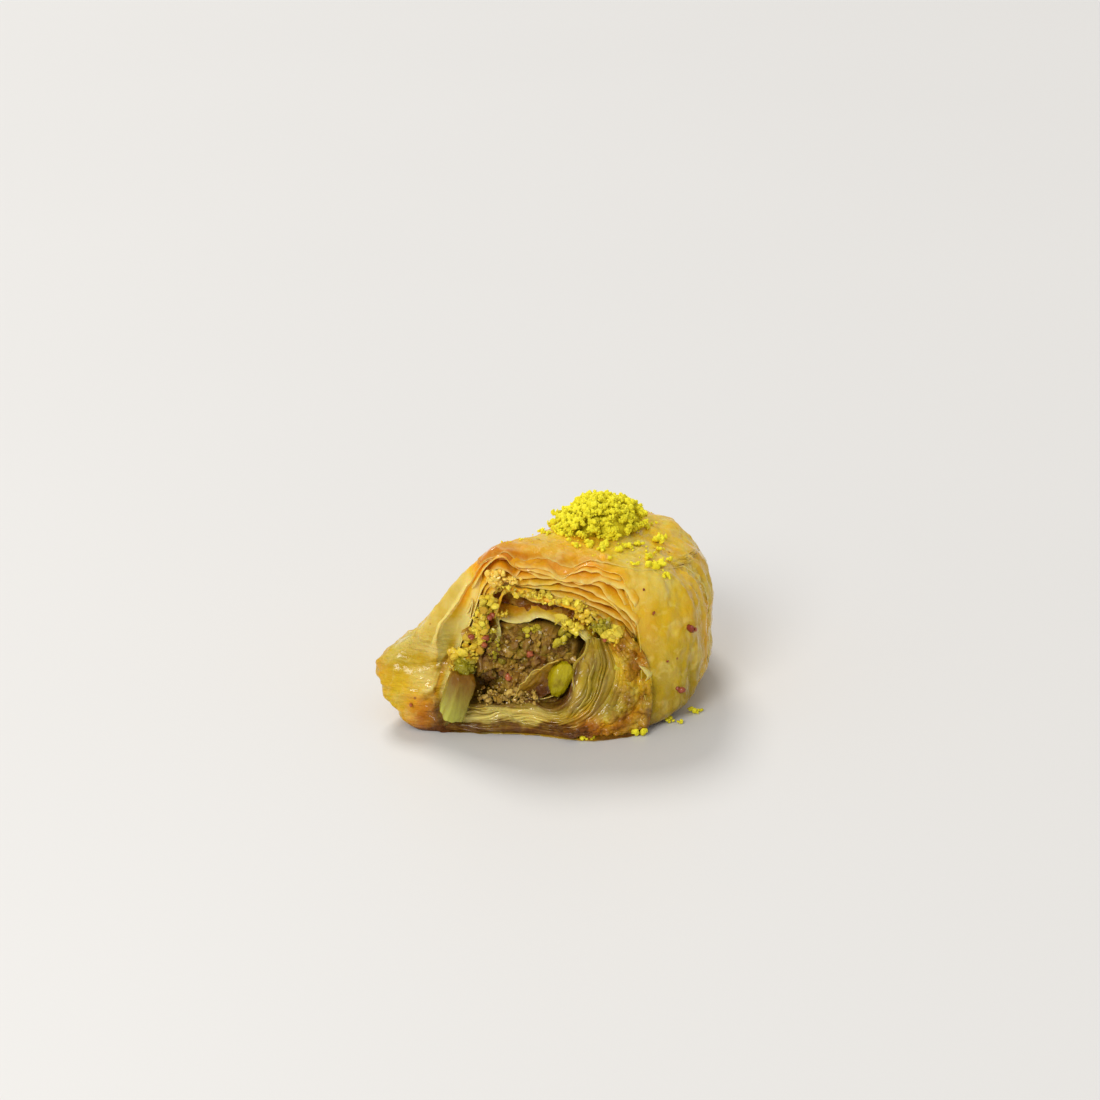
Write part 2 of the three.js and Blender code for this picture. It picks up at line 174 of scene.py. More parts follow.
class Bundle:
    # gathers many closed shells into one mesh with the same fields

    def __init__(self):
        self.vertices, self.faces, self.fields, self.count = [], [], {}, 0

    def add(self, vertices, faces, **fields):
        vertices = np.asarray(vertices).reshape(-1, 3)
        self.vertices.append(vertices)
        self.faces += [f + self.count for f in faces]
        for key, value in fields.items():
            values = np.broadcast_to(value, vertices.shape[:1]).reshape(-1)
            self.fields.setdefault(key, []).append(values)
        self.count += len(vertices)

    def addSheet(self, grid, thickness, rim, **fields):
        # a grid of points as a closed thin shell; rim is how pale it is, and row 0 is its free edge
        rows, columns = grid.shape[:2]
        normal = gridNormals(grid, False)
        half = np.broadcast_to(np.asarray(thickness) / 2, (rows, columns))[..., None]
        loop = np.concatenate([(grid - normal * half)[::-1], grid + normal * half])
        fields = {k: np.broadcast_to(v, (rows, columns)) for k, v in dict(fields, rim=rim).items()}
        doubled = {k: np.concatenate([v[::-1], v]) for k, v in fields.items()}
        faces = [gridFaces(2 * rows, columns, closeRows=True)]
        top = np.arange(rows - 1)
        for side, order in ((0, 1), (columns - 1, -1)):
            a, b = top * columns + side, (top + 1) * columns + side
            c, d = (2 * rows - 1 - top) * columns + side, (2 * rows - 2 - top) * columns + side
            faces.append(np.stack([a, c, d, b][::order], axis=-1))
        self.add(loop, faces, **{k: v.reshape(-1) for k, v in doubled.items()})

    def build(self, name, material, slot="pastry", flat=False):
        fields = {k: np.concatenate(v) for k, v in self.fields.items()}
        return makeMesh(name, np.concatenate(self.vertices), self.faces, fields, material, flat)


class Wire:
    # a node's output that takes part in sums

    def __init__(self, recipe, socket):
        self.recipe, self.socket = recipe, socket

    def sum(self, operation, *values, clampIt=False):
        settings = {"operation": operation, "use_clamp": clampIt}
        return self.recipe.node("ShaderNodeMath", settings, dict(enumerate(values)))

    def __add__(self, other):
        return self.sum("ADD", self, other)

    def __sub__(self, other):
        return self.sum("SUBTRACT", self, other)

    def __rsub__(self, other):
        return self.sum("SUBTRACT", other, self)

    def __mul__(self, other):
        return self.sum("MULTIPLY", self, other)

    __radd__, __rmul__ = __add__, __mul__

    def clamped(self):
        return self.sum("ADD", self, 0.0, clampIt=True)

    def between(self, low, high):
        # 0 below low, 1 above high
        settings = {"interpolation_type": "SMOOTHSTEP", "clamp": True}
        inputs = {"Value": self, "From Min": low, "From Max": high}
        return self.recipe.node("ShaderNodeMapRange", settings, inputs)


class Recipe:
    # one material and its nodes

    def __init__(self, name, **constants):
        self.material = bpy.data.materials.new(name)
        self.material.use_nodes = True
        self.tree = self.material.node_tree
        self.tree.nodes.clear()
        self.output = self.tree.nodes.new("ShaderNodeOutputMaterial")
        self.shader = self.tree.nodes.new("ShaderNodeBsdfPrincipled")
        self.tree.links.new(self.shader.outputs[0], self.output.inputs[0])
        for key, value in constants.items():
            self.shader.inputs[key.replace("_", " ")].default_value = value
        self.place = self.node("ShaderNodeTexCoord", output="Object")

    def connect(self, socket, value):
        if isinstance(value, Wire):
            self.tree.links.new(value.socket, socket)
        elif isinstance(value, (tuple, list)) and len(value) == 3 and socket.type == "RGBA":
            socket.default_value = (*value, 1.0)
        else:
            socket.default_value = value

    def node(self, kind, settings=None, inputs=None, output=0):
        made = self.tree.nodes.new(kind)
        for key, value in (settings or {}).items():
            if key == "stops":
                ramp = made.color_ramp
                while len(ramp.elements) < len(value):
                    ramp.elements.new(0.5)
                for element, (position, colour) in zip(ramp.elements, value):
                    element.position = position
                    element.color = (*colour, 1.0)
            else:
                setattr(made, key, value)
        for key, value in (inputs or {}).items():
            self.connect(made.inputs[key], value)
        return Wire(self, made.outputs[output])

    def field(self, name):
        return self.node("ShaderNodeAttribute", {"attribute_name": name}, output="Fac")

    def scaled(self, stretch):
        return self.node("ShaderNodeVectorMath", {"operation": "MULTIPLY"}, {0: self.place, 1: stretch})

    def noise(self, size, detail=4.0, rough=0.55, stretch=None, warp=0.0, kind="FBM"):
        # size in millimetres
        place = self.scaled(stretch) if stretch else self.place
        inputs = {"Vector": place, "Scale": 1 / (size * millimetre), "Detail": detail,
                  "Roughness": rough, "Distortion": warp}
        return self.node("ShaderNodeTexNoise", {"noise_type": kind}, inputs)

    def cells(self, size):
        # how far a place lies from the middle of its cell
        inputs = {"Vector": self.place, "Scale": 1 / (size * millimetre)}
        return self.node("ShaderNodeTexVoronoi", {"feature": "F1"}, inputs, "Distance")

    def blend(self, a, b, factor):
        return self.node("ShaderNodeMix", {"data_type": "RGBA"}, {0: factor, 6: a, 7: b}, output=2)

    def bump(self, height, distance, strength=1.0, under=None):
        # distance in millimetres
        inputs = {"Height": height, "Distance": distance * millimetre, "Strength": strength}
        if under:
            inputs["Normal"] = under
        return self.node("ShaderNodeBump", None, inputs)

    def finish(self, **links):
        for key, value in links.items():
            self.connect(self.shader.inputs[key.replace("_", " ")], value)
        return self.material


# colours from the palest leaf to the most toasted, and what soaks or scorches it; the brown also stands for
# painted shade
pastryColours = {
    "cream": (0.90, 0.72, 0.22),
    "gold": (0.78, 0.46, 0.016),
    "amber": (0.82, 0.36, 0.013),
    "orange": (0.66, 0.20, 0.002),
    "brown": (0.115, 0.038, 0.006),
    "olive": (0.275, 0.216, 0.0048),
    "speck": (0.22, 0.030, 0.006),
}
# thin leaves let light through, so they are lighter
leafColours = dict(pastryColours, cream=(0.96, 0.73, 0.22), gold=(0.92, 0.55, 0.030),
                   amber=(0.93, 0.44, 0.014), orange=(0.88, 0.33, 0.006))
# how strongly each unevenness shows; `stops` are where the four colours stand on the toasted scale
pastryValues = {
    "stops": (0.0, 0.38, 0.70, 1.0), "mottle": 0.42, "grain": 0.20, "streaks": 0.22, "specks": 0.7,
    "speckCells": 6.5, "veil": 0.30, "ridges": 0.14, "paleEdgeAndHighlight": 0.72, "crinkle": 6.0, "deepBump": 0.42,
    "fineBump": 0.20, "dull": 0.30, "syrup": 0.85,
}


def pastryMaterial(name, skin=False, colours=pastryColours):
    v, c = pastryValues, colours
    r = Recipe(name, IOR=1.46, Coat_Roughness=0.07, Coat_IOR=1.42, Subsurface_Weight=0.30,
               Subsurface_Radius=(1.0, 0.45, 0.05), Subsurface_Scale=0.0020, Specular_IOR_Level=0.14)
    toast, green, burn, rim = r.field("toast"), r.field("green"), r.field("burn"), r.field("rim")
    broad = r.noise(9, 3.0, 0.6, warp=0.6)
    fine = r.noise(1.4, 4.0, 0.65)
    streak = r.noise(2.2, 4.0, 0.6, stretch=(1.0, 1.0, 0.4) if skin else (0.35, 0.6, 1.0))
    warm = toast + (broad - 0.5) * v["mottle"] + (fine - 0.5) * v["grain"] + (streak - 0.5) * v["streaks"]
    stops = list(zip(v["stops"], (c["cream"], c["gold"], c["amber"], c["orange"])))
    colour = r.node("ShaderNodeValToRGB", {"stops": stops}, {"Fac": warm})
    green = green.clamped()
    soaked = green + (broad - 0.5) * 0.9 * green + (streak - 0.5) * 0.7 * green
    colour = r.blend(colour, c["olive"], soaked.clamped())
    # brown for scorching, and also painted shade low down and in creases
    scorchedAndShaded = burn + (fine - 0.5) * 0.5 * burn + (broad - 0.5) * 0.4 * burn
    colour = r.blend(colour, c["brown"], scorchedAndShaded.clamped())
    if skin:
        specks = 1 - r.cells(v["speckCells"]).between(0.03, 0.06)
        colour = r.blend(colour, c["speck"], (specks * v["specks"]).clamped())
    # crumpled film: its ridges painted pale, a painted highlight as if they catch the light, and small
    # hollows in the bumps
    ridges = r.noise(2.6, 3.0, 0.5, stretch=(0.7, 0.8, 1.0), warp=0.5, kind="RIDGED_MULTIFRACTAL")
    crumple = ridges.between(0.7, 1.5)
    veil = r.noise(3.4, 3.0, 0.5, warp=1.0).between(0.52, 0.72) * (1 - burn * 1.5).clamped()
    # the rim field holds pale leaf edges, and on the skin also a painted highlight strip
    pale = veil * v["veil"] + crumple * v["ridges"] + rim * v["paleEdgeAndHighlight"]
    colour = r.blend(colour, c["cream"], pale.clamped())
    gloss = r.noise(3.0, 2.0, 0.5)
    if skin:
        lines = r.noise(1.3, 4.0, 0.65, stretch=(0.28, 0.5, 1.5), warp=0.5)
        crumple = crumple + (lines - 0.5) * r.field("crinkle") * v["crinkle"]
    deep = r.bump(streak + crumple * 0.7, v["deepBump"], 0.7)
    normal = r.bump(fine + r.noise(0.5, 3.0, 0.6) * 0.4, v["fineBump"], 0.6, under=deep)
    return r.finish(Base_Color=colour, Roughness=(v["dull"] + gloss * 0.26 + burn * 0.1).clamped(),
                    Coat_Weight=(gloss.between(0.44, 0.58) * v["syrup"] + 0.05).clamped(), Normal=normal)


# ground nuts: darkest and lightest crumb, brown of their skins, how dull and how wet, and larger patches
nutValues = {
    "paste": {"low": (0.20, 0.088, 0.009), "high": (0.52, 0.32, 0.045), "dark": (0.10, 0.024, 0.014),
              "roughness": 0.42, "coat": 0.4, "patches": ((0.17, 0.055, 0.022), (0.25, 0.20, 0.012))},
    "nuts": {"low": (0.74, 0.41, 0.016), "high": (0.99, 0.83, 0.080), "dark": (0.20, 0.055, 0.004),
             "roughness": 0.5, "coat": 0.3},
    "green_nuts": {"low": (0.26, 0.22, 0.008), "high": (0.66, 0.54, 0.03), "dark": (0.15, 0.09, 0.008),
                   "roughness": 0.45, "coat": 0.4},
    "syrup_nuts": {"low": (0.38, 0.21, 0.020), "high": (0.80, 0.56, 0.13), "dark": (0.14, 0.05, 0.008),
                   "roughness": 0.3, "coat": 0.9},
    "golden_crumbs": {"low": (0.95, 0.44, 0.014), "high": (0.99, 0.72, 0.12), "dark": (0.7, 0.26, 0.01),
                      "roughness": 0.35, "coat": 0.8},
    "nut_skins": {"low": (0.24, 0.035, 0.012), "high": (0.48, 0.13, 0.05), "dark": (0.14, 0.02, 0.008),
                  "roughness": 0.4, "coat": 0.5},
    "ground_pistachio": {"low": (0.64, 0.54, 0.008), "high": (0.98, 0.88, 0.042), "dark": (0.30, 0.23, 0.005),
                         "roughness": 0.8, "coat": 0.0},
}


def nutMaterial(name, low, high, dark, roughness, coat, patches=()):
    # each crumb takes its own shade from the field "shade"; on the heap that field also holds painted light
    r = Recipe(name, IOR=1.46, Coat_Roughness=0.12, Subsurface_Weight=0.2, Subsurface_Radius=(1.0, 0.8, 0.12),
               Subsurface_Scale=0.0009, Specular_IOR_Level=0.15)
    shade, fine = r.field("shade"), r.noise(0.5, 4.0, 0.7)
    colour = r.blend(low, high, (shade + (fine - 0.5) * 0.5).clamped())
    burn, skins = r.field("burn"), r.noise(1.4, 3.0, 0.6).between(0.60, 0.78)
    colour = r.blend(colour, dark, (burn + skins * 0.5).clamped())
    for number, patch in enumerate(patches):
        place = r.noise(4.0 + number, 3.0, 0.6, warp=0.8 + number * 0.5).between(0.52, 0.66)
        colour = r.blend(colour, patch, place * 0.55)
    normal = r.bump(fine + r.cells(0.45) * 0.8, 0.16, 0.7)
    return r.finish(Base_Color=colour, Roughness=(roughness + (fine - 0.5) * 0.3).clamped(),
                    Coat_Weight=coat, Normal=normal)


def kernelMaterial(name, inside, outside, stain):
    r = Recipe(name, IOR=1.46, Coat_Roughness=0.06, Subsurface_Weight=0.35,
               Subsurface_Radius=(1.0, 0.9, 0.12), Subsurface_Scale=0.0016, Specular_IOR_Level=0.15)
    grain = r.noise(1.8, 5.0, 0.6, stretch=(1.0, 1.0, 0.35))
    fine = r.noise(0.45, 3.0, 0.6)
    upper = r.field("shade") * 0.3 + r.field("height") * 1.3 - 0.35 + (grain - 0.5) * 0.8
    colour = r.blend(inside, outside, upper.clamped())
    colour = r.blend(colour, stain, (r.noise(3.2, 3.0, 0.6).between(0.56, 0.74) * 0.6).clamped())
    normal = r.bump(grain + fine * 0.3, 0.28, 0.55)
    return r.finish(Base_Color=colour, Roughness=(0.28 + fine * 0.2).clamped(), Coat_Weight=0.35,
                    Normal=normal)


# the parcel's form: its open face, the bulges at the foot and the swell of the nose
facePlane = -37  # y of the open face at its foot
faceLean = 0.18  # how much it leans back, per millimetre of height
faceSides = {"x": 2, "flat": 14, "wide": 18, "back": 3.5}
crust = {"bulge": 3.6, "x": 9, "spread": 9, "height": 16}
topTilt, footSquareness = 0.1, 4.5  # the top falls to the right, and the foot's corners are tight
noseFoot = {"bulge": 3.9, "x": -30, "spread": 7}
toe = {"height": 12.3, "above": 4.2, "below": 17}
quarterPoints = {"rightTop": 20, "leftTop": 14, "leftBottom": 11, "rightBottom": 16}
sectionKeys = ("y", "crestX", "crest", "left", "right", "waist", "toe", "slope", "shoulder", "sole")
# sections from the mouth to the back nose: place, crest, reach to both sides, widest height, swell of the
# nose, squareness of both upper corners, and lowest height
stations = np.array([
    (-37.0, -10.5, 36.8, 11.0, 31.5, 14, 0.0, 1.2, 5.0, 0.8),
    (-34.5, -10.8, 38.9, 17.5, 39.5, 15, 5.5, 1.25, 4.0, -1.2),
    (-29.5, -9.5, 39.4, 20.0, 42.0, 15, 6.6, 1.25, 3.6, -1.2),
    (-22.0, -5.0, 38.8, 23.0, 39.5, 15, 5.0, 1.3, 3.3, -1.2),
    (-12.0, 4.0, 37.7, 29.0, 32.5, 15, 1.5, 1.4, 3.0, -1.2),
    (2.0, 14.0, 36.9, 28.5, 22.5, 15, 0.0, 1.5, 2.8, -1.2),
    (15.0, 18.5, 32.0, 22.0, 15.5, 13, 0.0, 1.6, 2.5, -1.2),
    (28.0, 20.5, 23.5, 13.0, 9.5, 10, 0.0, 1.8, 2.3, -0.8),
    (36.5, 21.5, 16.0, 7.0, 6.5, 8, 0.0, 2.0, 2.1, 0.6),
    (40.0, 22.0, 11.0, 3.0, 3.0, 7, 0.0, 2.0, 2.0, 3.0),
])


def throughFour(a, b, c, d, u):
    # a smooth curve from b (u = 0) to c (u = 1)
    return b + 0.5 * u * (c - a + u * (2 * a - 5 * b + 4 * c - d + u * (3 * (b - c) + d - a)))


def lengthAlong(x, z):
    return np.concatenate([[0], np.cumsum(np.hypot(np.diff(x), np.diff(z)))])


def atLengths(wanted, x, z):
    # the points of a line at these lengths along it
    length = lengthAlong(x, z)
    return np.stack([np.interp(wanted, length, x), np.interp(wanted, length, z)], axis=-1)


def alongStations(t):
    # a smooth curve through the stations, t from 0 to 1
    s = t * (len(stations) - 1)
    i = min(len(stations) - 2, int(s))
    a, b, c, d = (stations[min(len(stations) - 1, max(0, j))] for j in range(i - 1, i + 3))
    return throughFour(a, b, c, d, s - i)


def quarter(form, start, count):
    # a quarter of a section from the turn `start`, as evenly spaced (x, z)
    f = dict(zip(sectionKeys, form))
    upper = start < math.pi
    leftwards = math.pi / 2 <= start < math.pi * 1.5
    square = (f["slope"] if leftwards else f["shoulder"]) if upper else footSquareness
    reach = -f["left"] if leftwards else f["right"]
    rise = (f["crest"] if upper else f["sole"]) - f["waist"]
    turn = start + np.linspace(0, 1, 241) * math.pi / 2
    across = np.abs(np.cos(turn)) ** (2 / square)
    up = np.abs(np.sin(turn)) ** (2 / square)
    x = f["crestX"] + reach * across
    z = f["waist"] + rise * up
    if upper and not leftwards:
        z = z - topTilt * reach * across * np.abs(np.sin(turn))
    if leftwards:
        fade = np.where(z > toe["height"], toe["above"], toe["below"])
        x = x - f["toe"] * across ** 2 * peak(z, toe["height"], fade)
    return atLengths(np.arange(count) / count * lengthAlong(x, z)[-1], x, z)


def sectionRing(form, density):
    # the whole closed curve as (x, z), from the right round over the top
    starts = (0, math.pi / 2, math.pi, math.pi * 1.5)
    counts = [points * density for points in quarterPoints.values()]
    return np.concatenate([quarter(form, start, count) for start, count in zip(starts, counts)])


def faceDepth(x, z):
    # how the open face leans back, bends back at its sides and bulges at the foot
    low = clamp(1 - z / crust["height"])
    foot = crust["bulge"] * low * peak(x, crust["x"], crust["spread"])
    foot = foot + noseFoot["bulge"] * low * peak(x, noseFoot["x"], noseFoot["spread"])
    aside = clamp((np.abs(x - faceSides["x"]) - faceSides["flat"]) / faceSides["wide"])
    return faceLean * z + faceSides["back"] * aside ** 1.5 - foot


def facePlace(x, z):
    # y of the open face at (x, z)
    return facePlane + faceDepth(x, z)


def skinGrid(rows, density):
    # the parcel's outer skin, rows from the mouth's rim to the back nose, closer together in front
    grid = []
    for r in range(rows):
        t = (r / (rows - 1)) ** 1.15
        form = alongStations(t)
        xz = sectionRing(form, density)
        front = 1 - float(smooth(t * 2))
        y = form[0] + front * faceDepth(xz[:, 0], xz[:, 1])
        grid.append(xyz(xz[:, 0], y, xz[:, 1]))
    return np.array(grid)


# lower edge of the sheet that lies over the nose, as (x, z) from the mouth's rim outwards
noseEdge = [(-20.0, 15.5), (-22.2, 14.6), (-22.7, 12.7), (-23.3, 10.4), (-24.0, 8.9), (-25.9, 8.3),
            (-28.1, 7.8), (-29.8, 7.0), (-31.9, 6.1), (-36, 5.0)]
noseEdgeSoftness = 0.6


def noseSheet(points):
    # 1 on the sheet over the nose, 0 below its edge
    x, y, z = points[..., 0], points[..., 1], points[..., 2]
    edge = np.array(noseEdge)[::-1]
    height = np.interp(x, edge[:, 0], edge[:, 1]) + roughNoise(points, 4.0, 21) * 1.1 + (y + 33) * 0.06
    above = smooth((z - height) / noseEdgeSoftness + 0.5)
    return above * smooth((-19.5 - x) / 1.5) + smooth((x + 19.5) / 1.5)


def pastryFields(points):
    # how toasted, how soaked green and how scorched the pastry is at a point; the scorch field also holds
    # painted shade at the foot and in creases
    x, y, z = points[..., 0], points[..., 1], points[..., 2]
    front = smooth((-18 - y) / 8)
    top = smooth((z - 33) / 4)
    right = smooth((x - 8) / 8)
    # the crest, the left corner, the right corner and the nose's foot
    toast = 0.40 + top * (0.30 * peak(x, -1, 15) - 0.05)
    toast += 0.34 * peak(x, -9, 5) * smooth((z - 26) / 7) * front
    toast -= 0.24 * band(x, -40, -15, 3) * band(z, 18, 33, 4) * front
    toast -= 0.10 * band(x, 16, 40, 4) * smooth((z - 24) / 8) * front
    toast += 0.48 * peak(x, -26, 3.8) * smooth((9.5 - z) / 5) * front
    # paler on the crest's left and on the right corner of the top
    paleCrest = 0.20 * top * band(x, -9, 1, 3) * smooth((y + 30) / 3)
    toast -= paleCrest + 0.06 * top * smooth((x - 13) / 5) * front
    # the orange front edge over the arch
    behind = clamp(y - faceDepth(x, z) - facePlane, 0, 99)
    toast += 0.28 * (smooth((z - 31) / 3) * band(x, -14, 16, 3) * peak(behind, 0, 3.2))
    toast += 0.10 * spot(x, z, (-36, 13), (3, 4))
    toast += (1 - front) * (0.12 + 0.25 * roughNoise(points, (16, 16, 9), 77)) * smooth((z - 4) / 8)
    green = 0.15 * front * right * smooth((33 - z) / 5) + 0.50 * smooth((28 - z) / 20) * right * front
    green += 0.20 * smooth((20 - z) / 20) * (1 - front)
    green += 0.30 * smooth((-15 - x) / 4) * band(z, 15, 40, 4) * front
    green += 0.08 * smooth((-19 - x) / 5) * band(z, 7, 15, 4) * (0.6 + roughNoise(points, 5, 78)) * front
    # painted shadow in the crease at the mouth's lower left beside the nose; the second term darkens the
    # bottom 1.8 mm, partly real browned underside and partly painted shade
    burn = 0.35 * peak(x, -22.5, 3.4) * smooth((9 - z) / 5) * front + smooth((1.8 - z) / 1.8) * 0.7
    burn += 0.30 * smooth((12 - z) / 10) * smooth((x - 8) / 6) * front
    toast -= 0.34 * spot(x, z, (-25.6, 11.6), (3.2, 3.0)) * front
    # more painted shadow in the same crease
    burn += 0.50 * peak(x, -22.2, 2.4) * smooth((10 - z) / 5) * front
    burn += 0.26 * peak(x, -27, 4) * smooth((7 - z) / 4) * front
    # the nose sheet's pale edge and the shadow under it
    sheet = noseSheet(points)
    near = front * smooth((x + 28) / 3)
    burn += 0.40 * clamp(noseSheet(points + [0, 0, 1.4]) - sheet) * near
    toast -= 0.25 * clamp(sheet - noseSheet(points - [0, 0, 1.0])) * near
    crinkle = smooth((-16 - x) / 5) * smooth((24 - z) / 6) * smooth((-10 - y) / 8)
    return {"toast": toast, "green": green, "burn": burn, "crinkle": crinkle}


def resampled(curve, count):
    # the same line with evenly spaced points
    return atLengths(np.linspace(0, lengthAlong(*curve.T)[-1], count), *curve.T)


def smoothCurve(points, spacing):
    # a rounded curve through (x, z) points, with even steps along it
    p = np.array(points, dtype=float)
    p = np.concatenate([2 * p[:1] - p[1:2], p, 2 * p[-1:] - p[-2:-1]])
    u = np.linspace(0, 1, 9)[:-1, None]
    parts = [throughFour(a, b, c, d, u) for a, b, c, d in zip(p[:-3], p[1:-2], p[2:-1], p[3:])]
    curve = np.concatenate(parts + [p[-2:-1]])
    return resampled(curve, max(4, int(lengthAlong(*curve.T)[-1] / spacing)))


def between(first, second, share):
    # a line part of the way from one line to another
    count = max(len(first), len(second))
    return mix(resampled(first, count), resampled(second, count), share)


# the mouth's rim as (x, z), from the nose over the crest to the right foot
rimPoints = [
    (-22.0, 0.1), (-23.6, 3.5), (-23.8, 6.7), (-24.0, 10.0), (-23.3, 13.7), (-23.1, 17.5), (-22.8, 21.0),
    (-22.2, 23.2), (-21.1, 24.8), (-19.8, 26.6), (-18.5, 28.6), (-17.2, 30.8), (-15.9, 32.7),
    (-14.5, 35.3), (-13.0, 37.1), (-11.3, 37.9), (-9.6, 37.9), (-8.1, 37.5), (-7.3, 36.9), (-5.4, 35.8),
    (-2.2, 35.6), (-0.1, 35.6), (1.6, 34.8), (2.6, 34.3), (4.3, 34.3), (5.8, 35.0), (7.3, 36.0),
    (9.4, 36.5), (11.1, 36.0), (12.7, 35.2), (14.8, 35.0), (16.1, 34.1), (16.8, 33.1), (17.2, 30.9),
    (18.3, 27.9), (19.5, 24.5), (20.2, 21.2), (20.6, 17.8), (20.7, 14.8), (20.4, 12.5), (20.9, 9.5),
    (21.8, 6.3), (21.8, 2.7), (20.5, 0.1),
]
skinValues = {
    "rows": 170, "density": 6, "thickness": 0.35, "folds": 0.9, "ripples": 0.16, "rimBlend": 2.6,
    "middle": (-2.0, 14.0), "fuzz": 0.45, "inside": (6.0, 0.0, 14.0), "lip": 1.2, "lipBulge": 0.4,
    "step": 0.22, "belly": 0.3, "lipRows": 18, "hollow": 0.8, "innerRows": 60, "wornPasses": 60,
    "highlightRows": 16, "innerStrip": 5, "clearance": 0.05,
}


def mouthRim(ring, points):
    # the point of a line round the mouth in the direction of each point of a ring
    middle = np.array(skinValues["middle"])
    rim = smoothCurve(points, 0.3)
    steps, ground = 60, 0.1
    foot = np.stack([np.linspace(rim[-1, 0], rim[0, 0], steps), np.full(steps, ground)], axis=-1)
    rim = np.concatenate([rim, foot]) - middle
    angle, reach = np.arctan2(rim[:, 1], rim[:, 0]), np.hypot(*rim.T)
    order = np.argsort(angle)
    wanted = np.arctan2(ring[:, 1] - middle[1], ring[:, 0] - middle[0])
    far = np.interp(wanted, angle[order], reach[order], period=2 * math.pi)
    return middle + far[:, None] * np.stack([np.cos(wanted), np.sin(wanted)], axis=-1)


def raggedLine(count, spacing=0.3, own=0.0):
    # places along an edge for its noise; `own` sets one edge's noise apart from another's
    return xyz(np.arange(count) * spacing, 0, own)


def openedSkin(rows, density):
    # the skin, led into the mouth's rim at the front
    grid = skinGrid(rows, density)
    rim = mouthRim(grid[0][:, [0, 2]], rimPoints)
    shift = xyz(rim[:, 0], facePlace(*rim.T), rim[:, 1]) - grid[0]
    steps = np.linalg.norm(np.diff(grid, axis=0), axis=-1)
    away = np.concatenate([np.zeros((1, grid.shape[1])), np.cumsum(steps, axis=0)])
    share = peak(away, 0, skinValues["rimBlend"])
    return grid + shift[None] * share[..., None]


def skinRelief(grid):
    # soft folds on the front corner, wrinkles on the nose, a torn band on the right and draped folds behind
    v = skinValues
    x, y, z = grid[..., 0], grid[..., 1], grid[..., 2]
    normal = gridNormals(grid, True)
    corner = band(x, 19, 40, 3) * smooth((-15 - y) / 8)
    relief = creases(grid, (5.5, 7, 24), 3, 0.12) * corner * v["folds"] * 0.45
    ripples = creases(grid, (2.3, 3, 10), 4, -0.15) * corner * 0.17
    relief += ripples + roughNoise(grid, 4.5, 15) * corner * 0.22
    nose = smooth((-17 - x) / 6) * smooth((34 - z) / 8) * smooth((-8 - y) / 10)
    low = smooth((22 - z) / 6)
    relief += creases(grid, (11, 8, 3.4), 5, 0.25) * nose * v["folds"] * 0.50 * low
    relief += creases(grid, (4, 4, 1.5), 7, 0.15) * nose * 0.30 * low
    relief += roughNoise(grid, (2.6, 2, 1.1), 24, 2) * nose * 0.15
    relief += v["belly"] * nose * spot(x, z, (-29, 10), (5, 6))
    relief += (noseSheet(grid) - 1) * v["step"] * nose
    relief += creases(grid, (3.4, 3, 2.0), 23, 0.8) * nose * 0.30 * band(z, 14.5, 19, 3)
    strip = nose * smooth((z - 14) / 5)
    along = xyz(x * 0.85 - z * 0.5, y * 0.6, x * 0.5 + z * 0.85)
    pleats = softNoise(along, (1.9, 2.4, 16), 6) * strip * 0.4
    relief += pleats + creases(along, (3.2, 4, 15), 19, 0.0) * strip * 0.22
    side = smooth((normal[..., 0] - 0.45) / 0.2) * smooth((y + 21) / 1.2)
    groove = side * band(y, -17.5, -11.5, 1.2) * smooth((z - 5) / 5)
    relief += groove * (-0.6 + roughNoise(grid, (1, 1, 1.6), 9) * v["fuzz"])
    upright = xyz(y, 0, z)
    pleats = softNoise(upright, (2.3, 1, 12), 14) * 0.45 + creases(upright, (5, 1, 17), 18, 0.1) * 0.3
    relief += side * (1 - groove) * pleats
    back = smooth((y + 8) / 12) * (1 - side)
    diagonal = xyz(x * 0.7 + y * 0.7, x * 0.7 - y * 0.7, z)
    relief += (softNoise(diagonal, (24, 4.2, 11), 12) * 0.5 + creases(diagonal, (20, 6, 9), 16) * 0.55
               + creases(diagonal, (9, 2.4, 4), 17) * 0.30 + roughNoise(grid, 2.2, 25) * 0.12) * back
    relief += roughNoise(grid, 6, 8) * 0.25 + roughNoise(grid, 1.6, 13, 2) * v["ripples"] - 0.35
    return grid + normal * (relief * smooth((z - 0.2) / 2.5))[..., None]


def closeEnds(points, columns):
    # end caps for a tube of rings, each with a point in its middle
    rows = len(points)
    flat = np.concatenate([points.reshape(-1, 3), [points[0].mean(axis=0), points[-1].mean(axis=0)]])
    c = np.arange(columns)
    nextC, last = (c + 1) % columns, (rows - 1) * columns
    back = np.stack([last + c, np.full(columns, len(flat) - 1), last + nextC], axis=-1)
    front = np.stack([c, nextC, np.full(columns, len(flat) - 2)], axis=-1)
    return flat, [gridFaces(rows, columns, closeColumns=True), np.concatenate([back, front])]


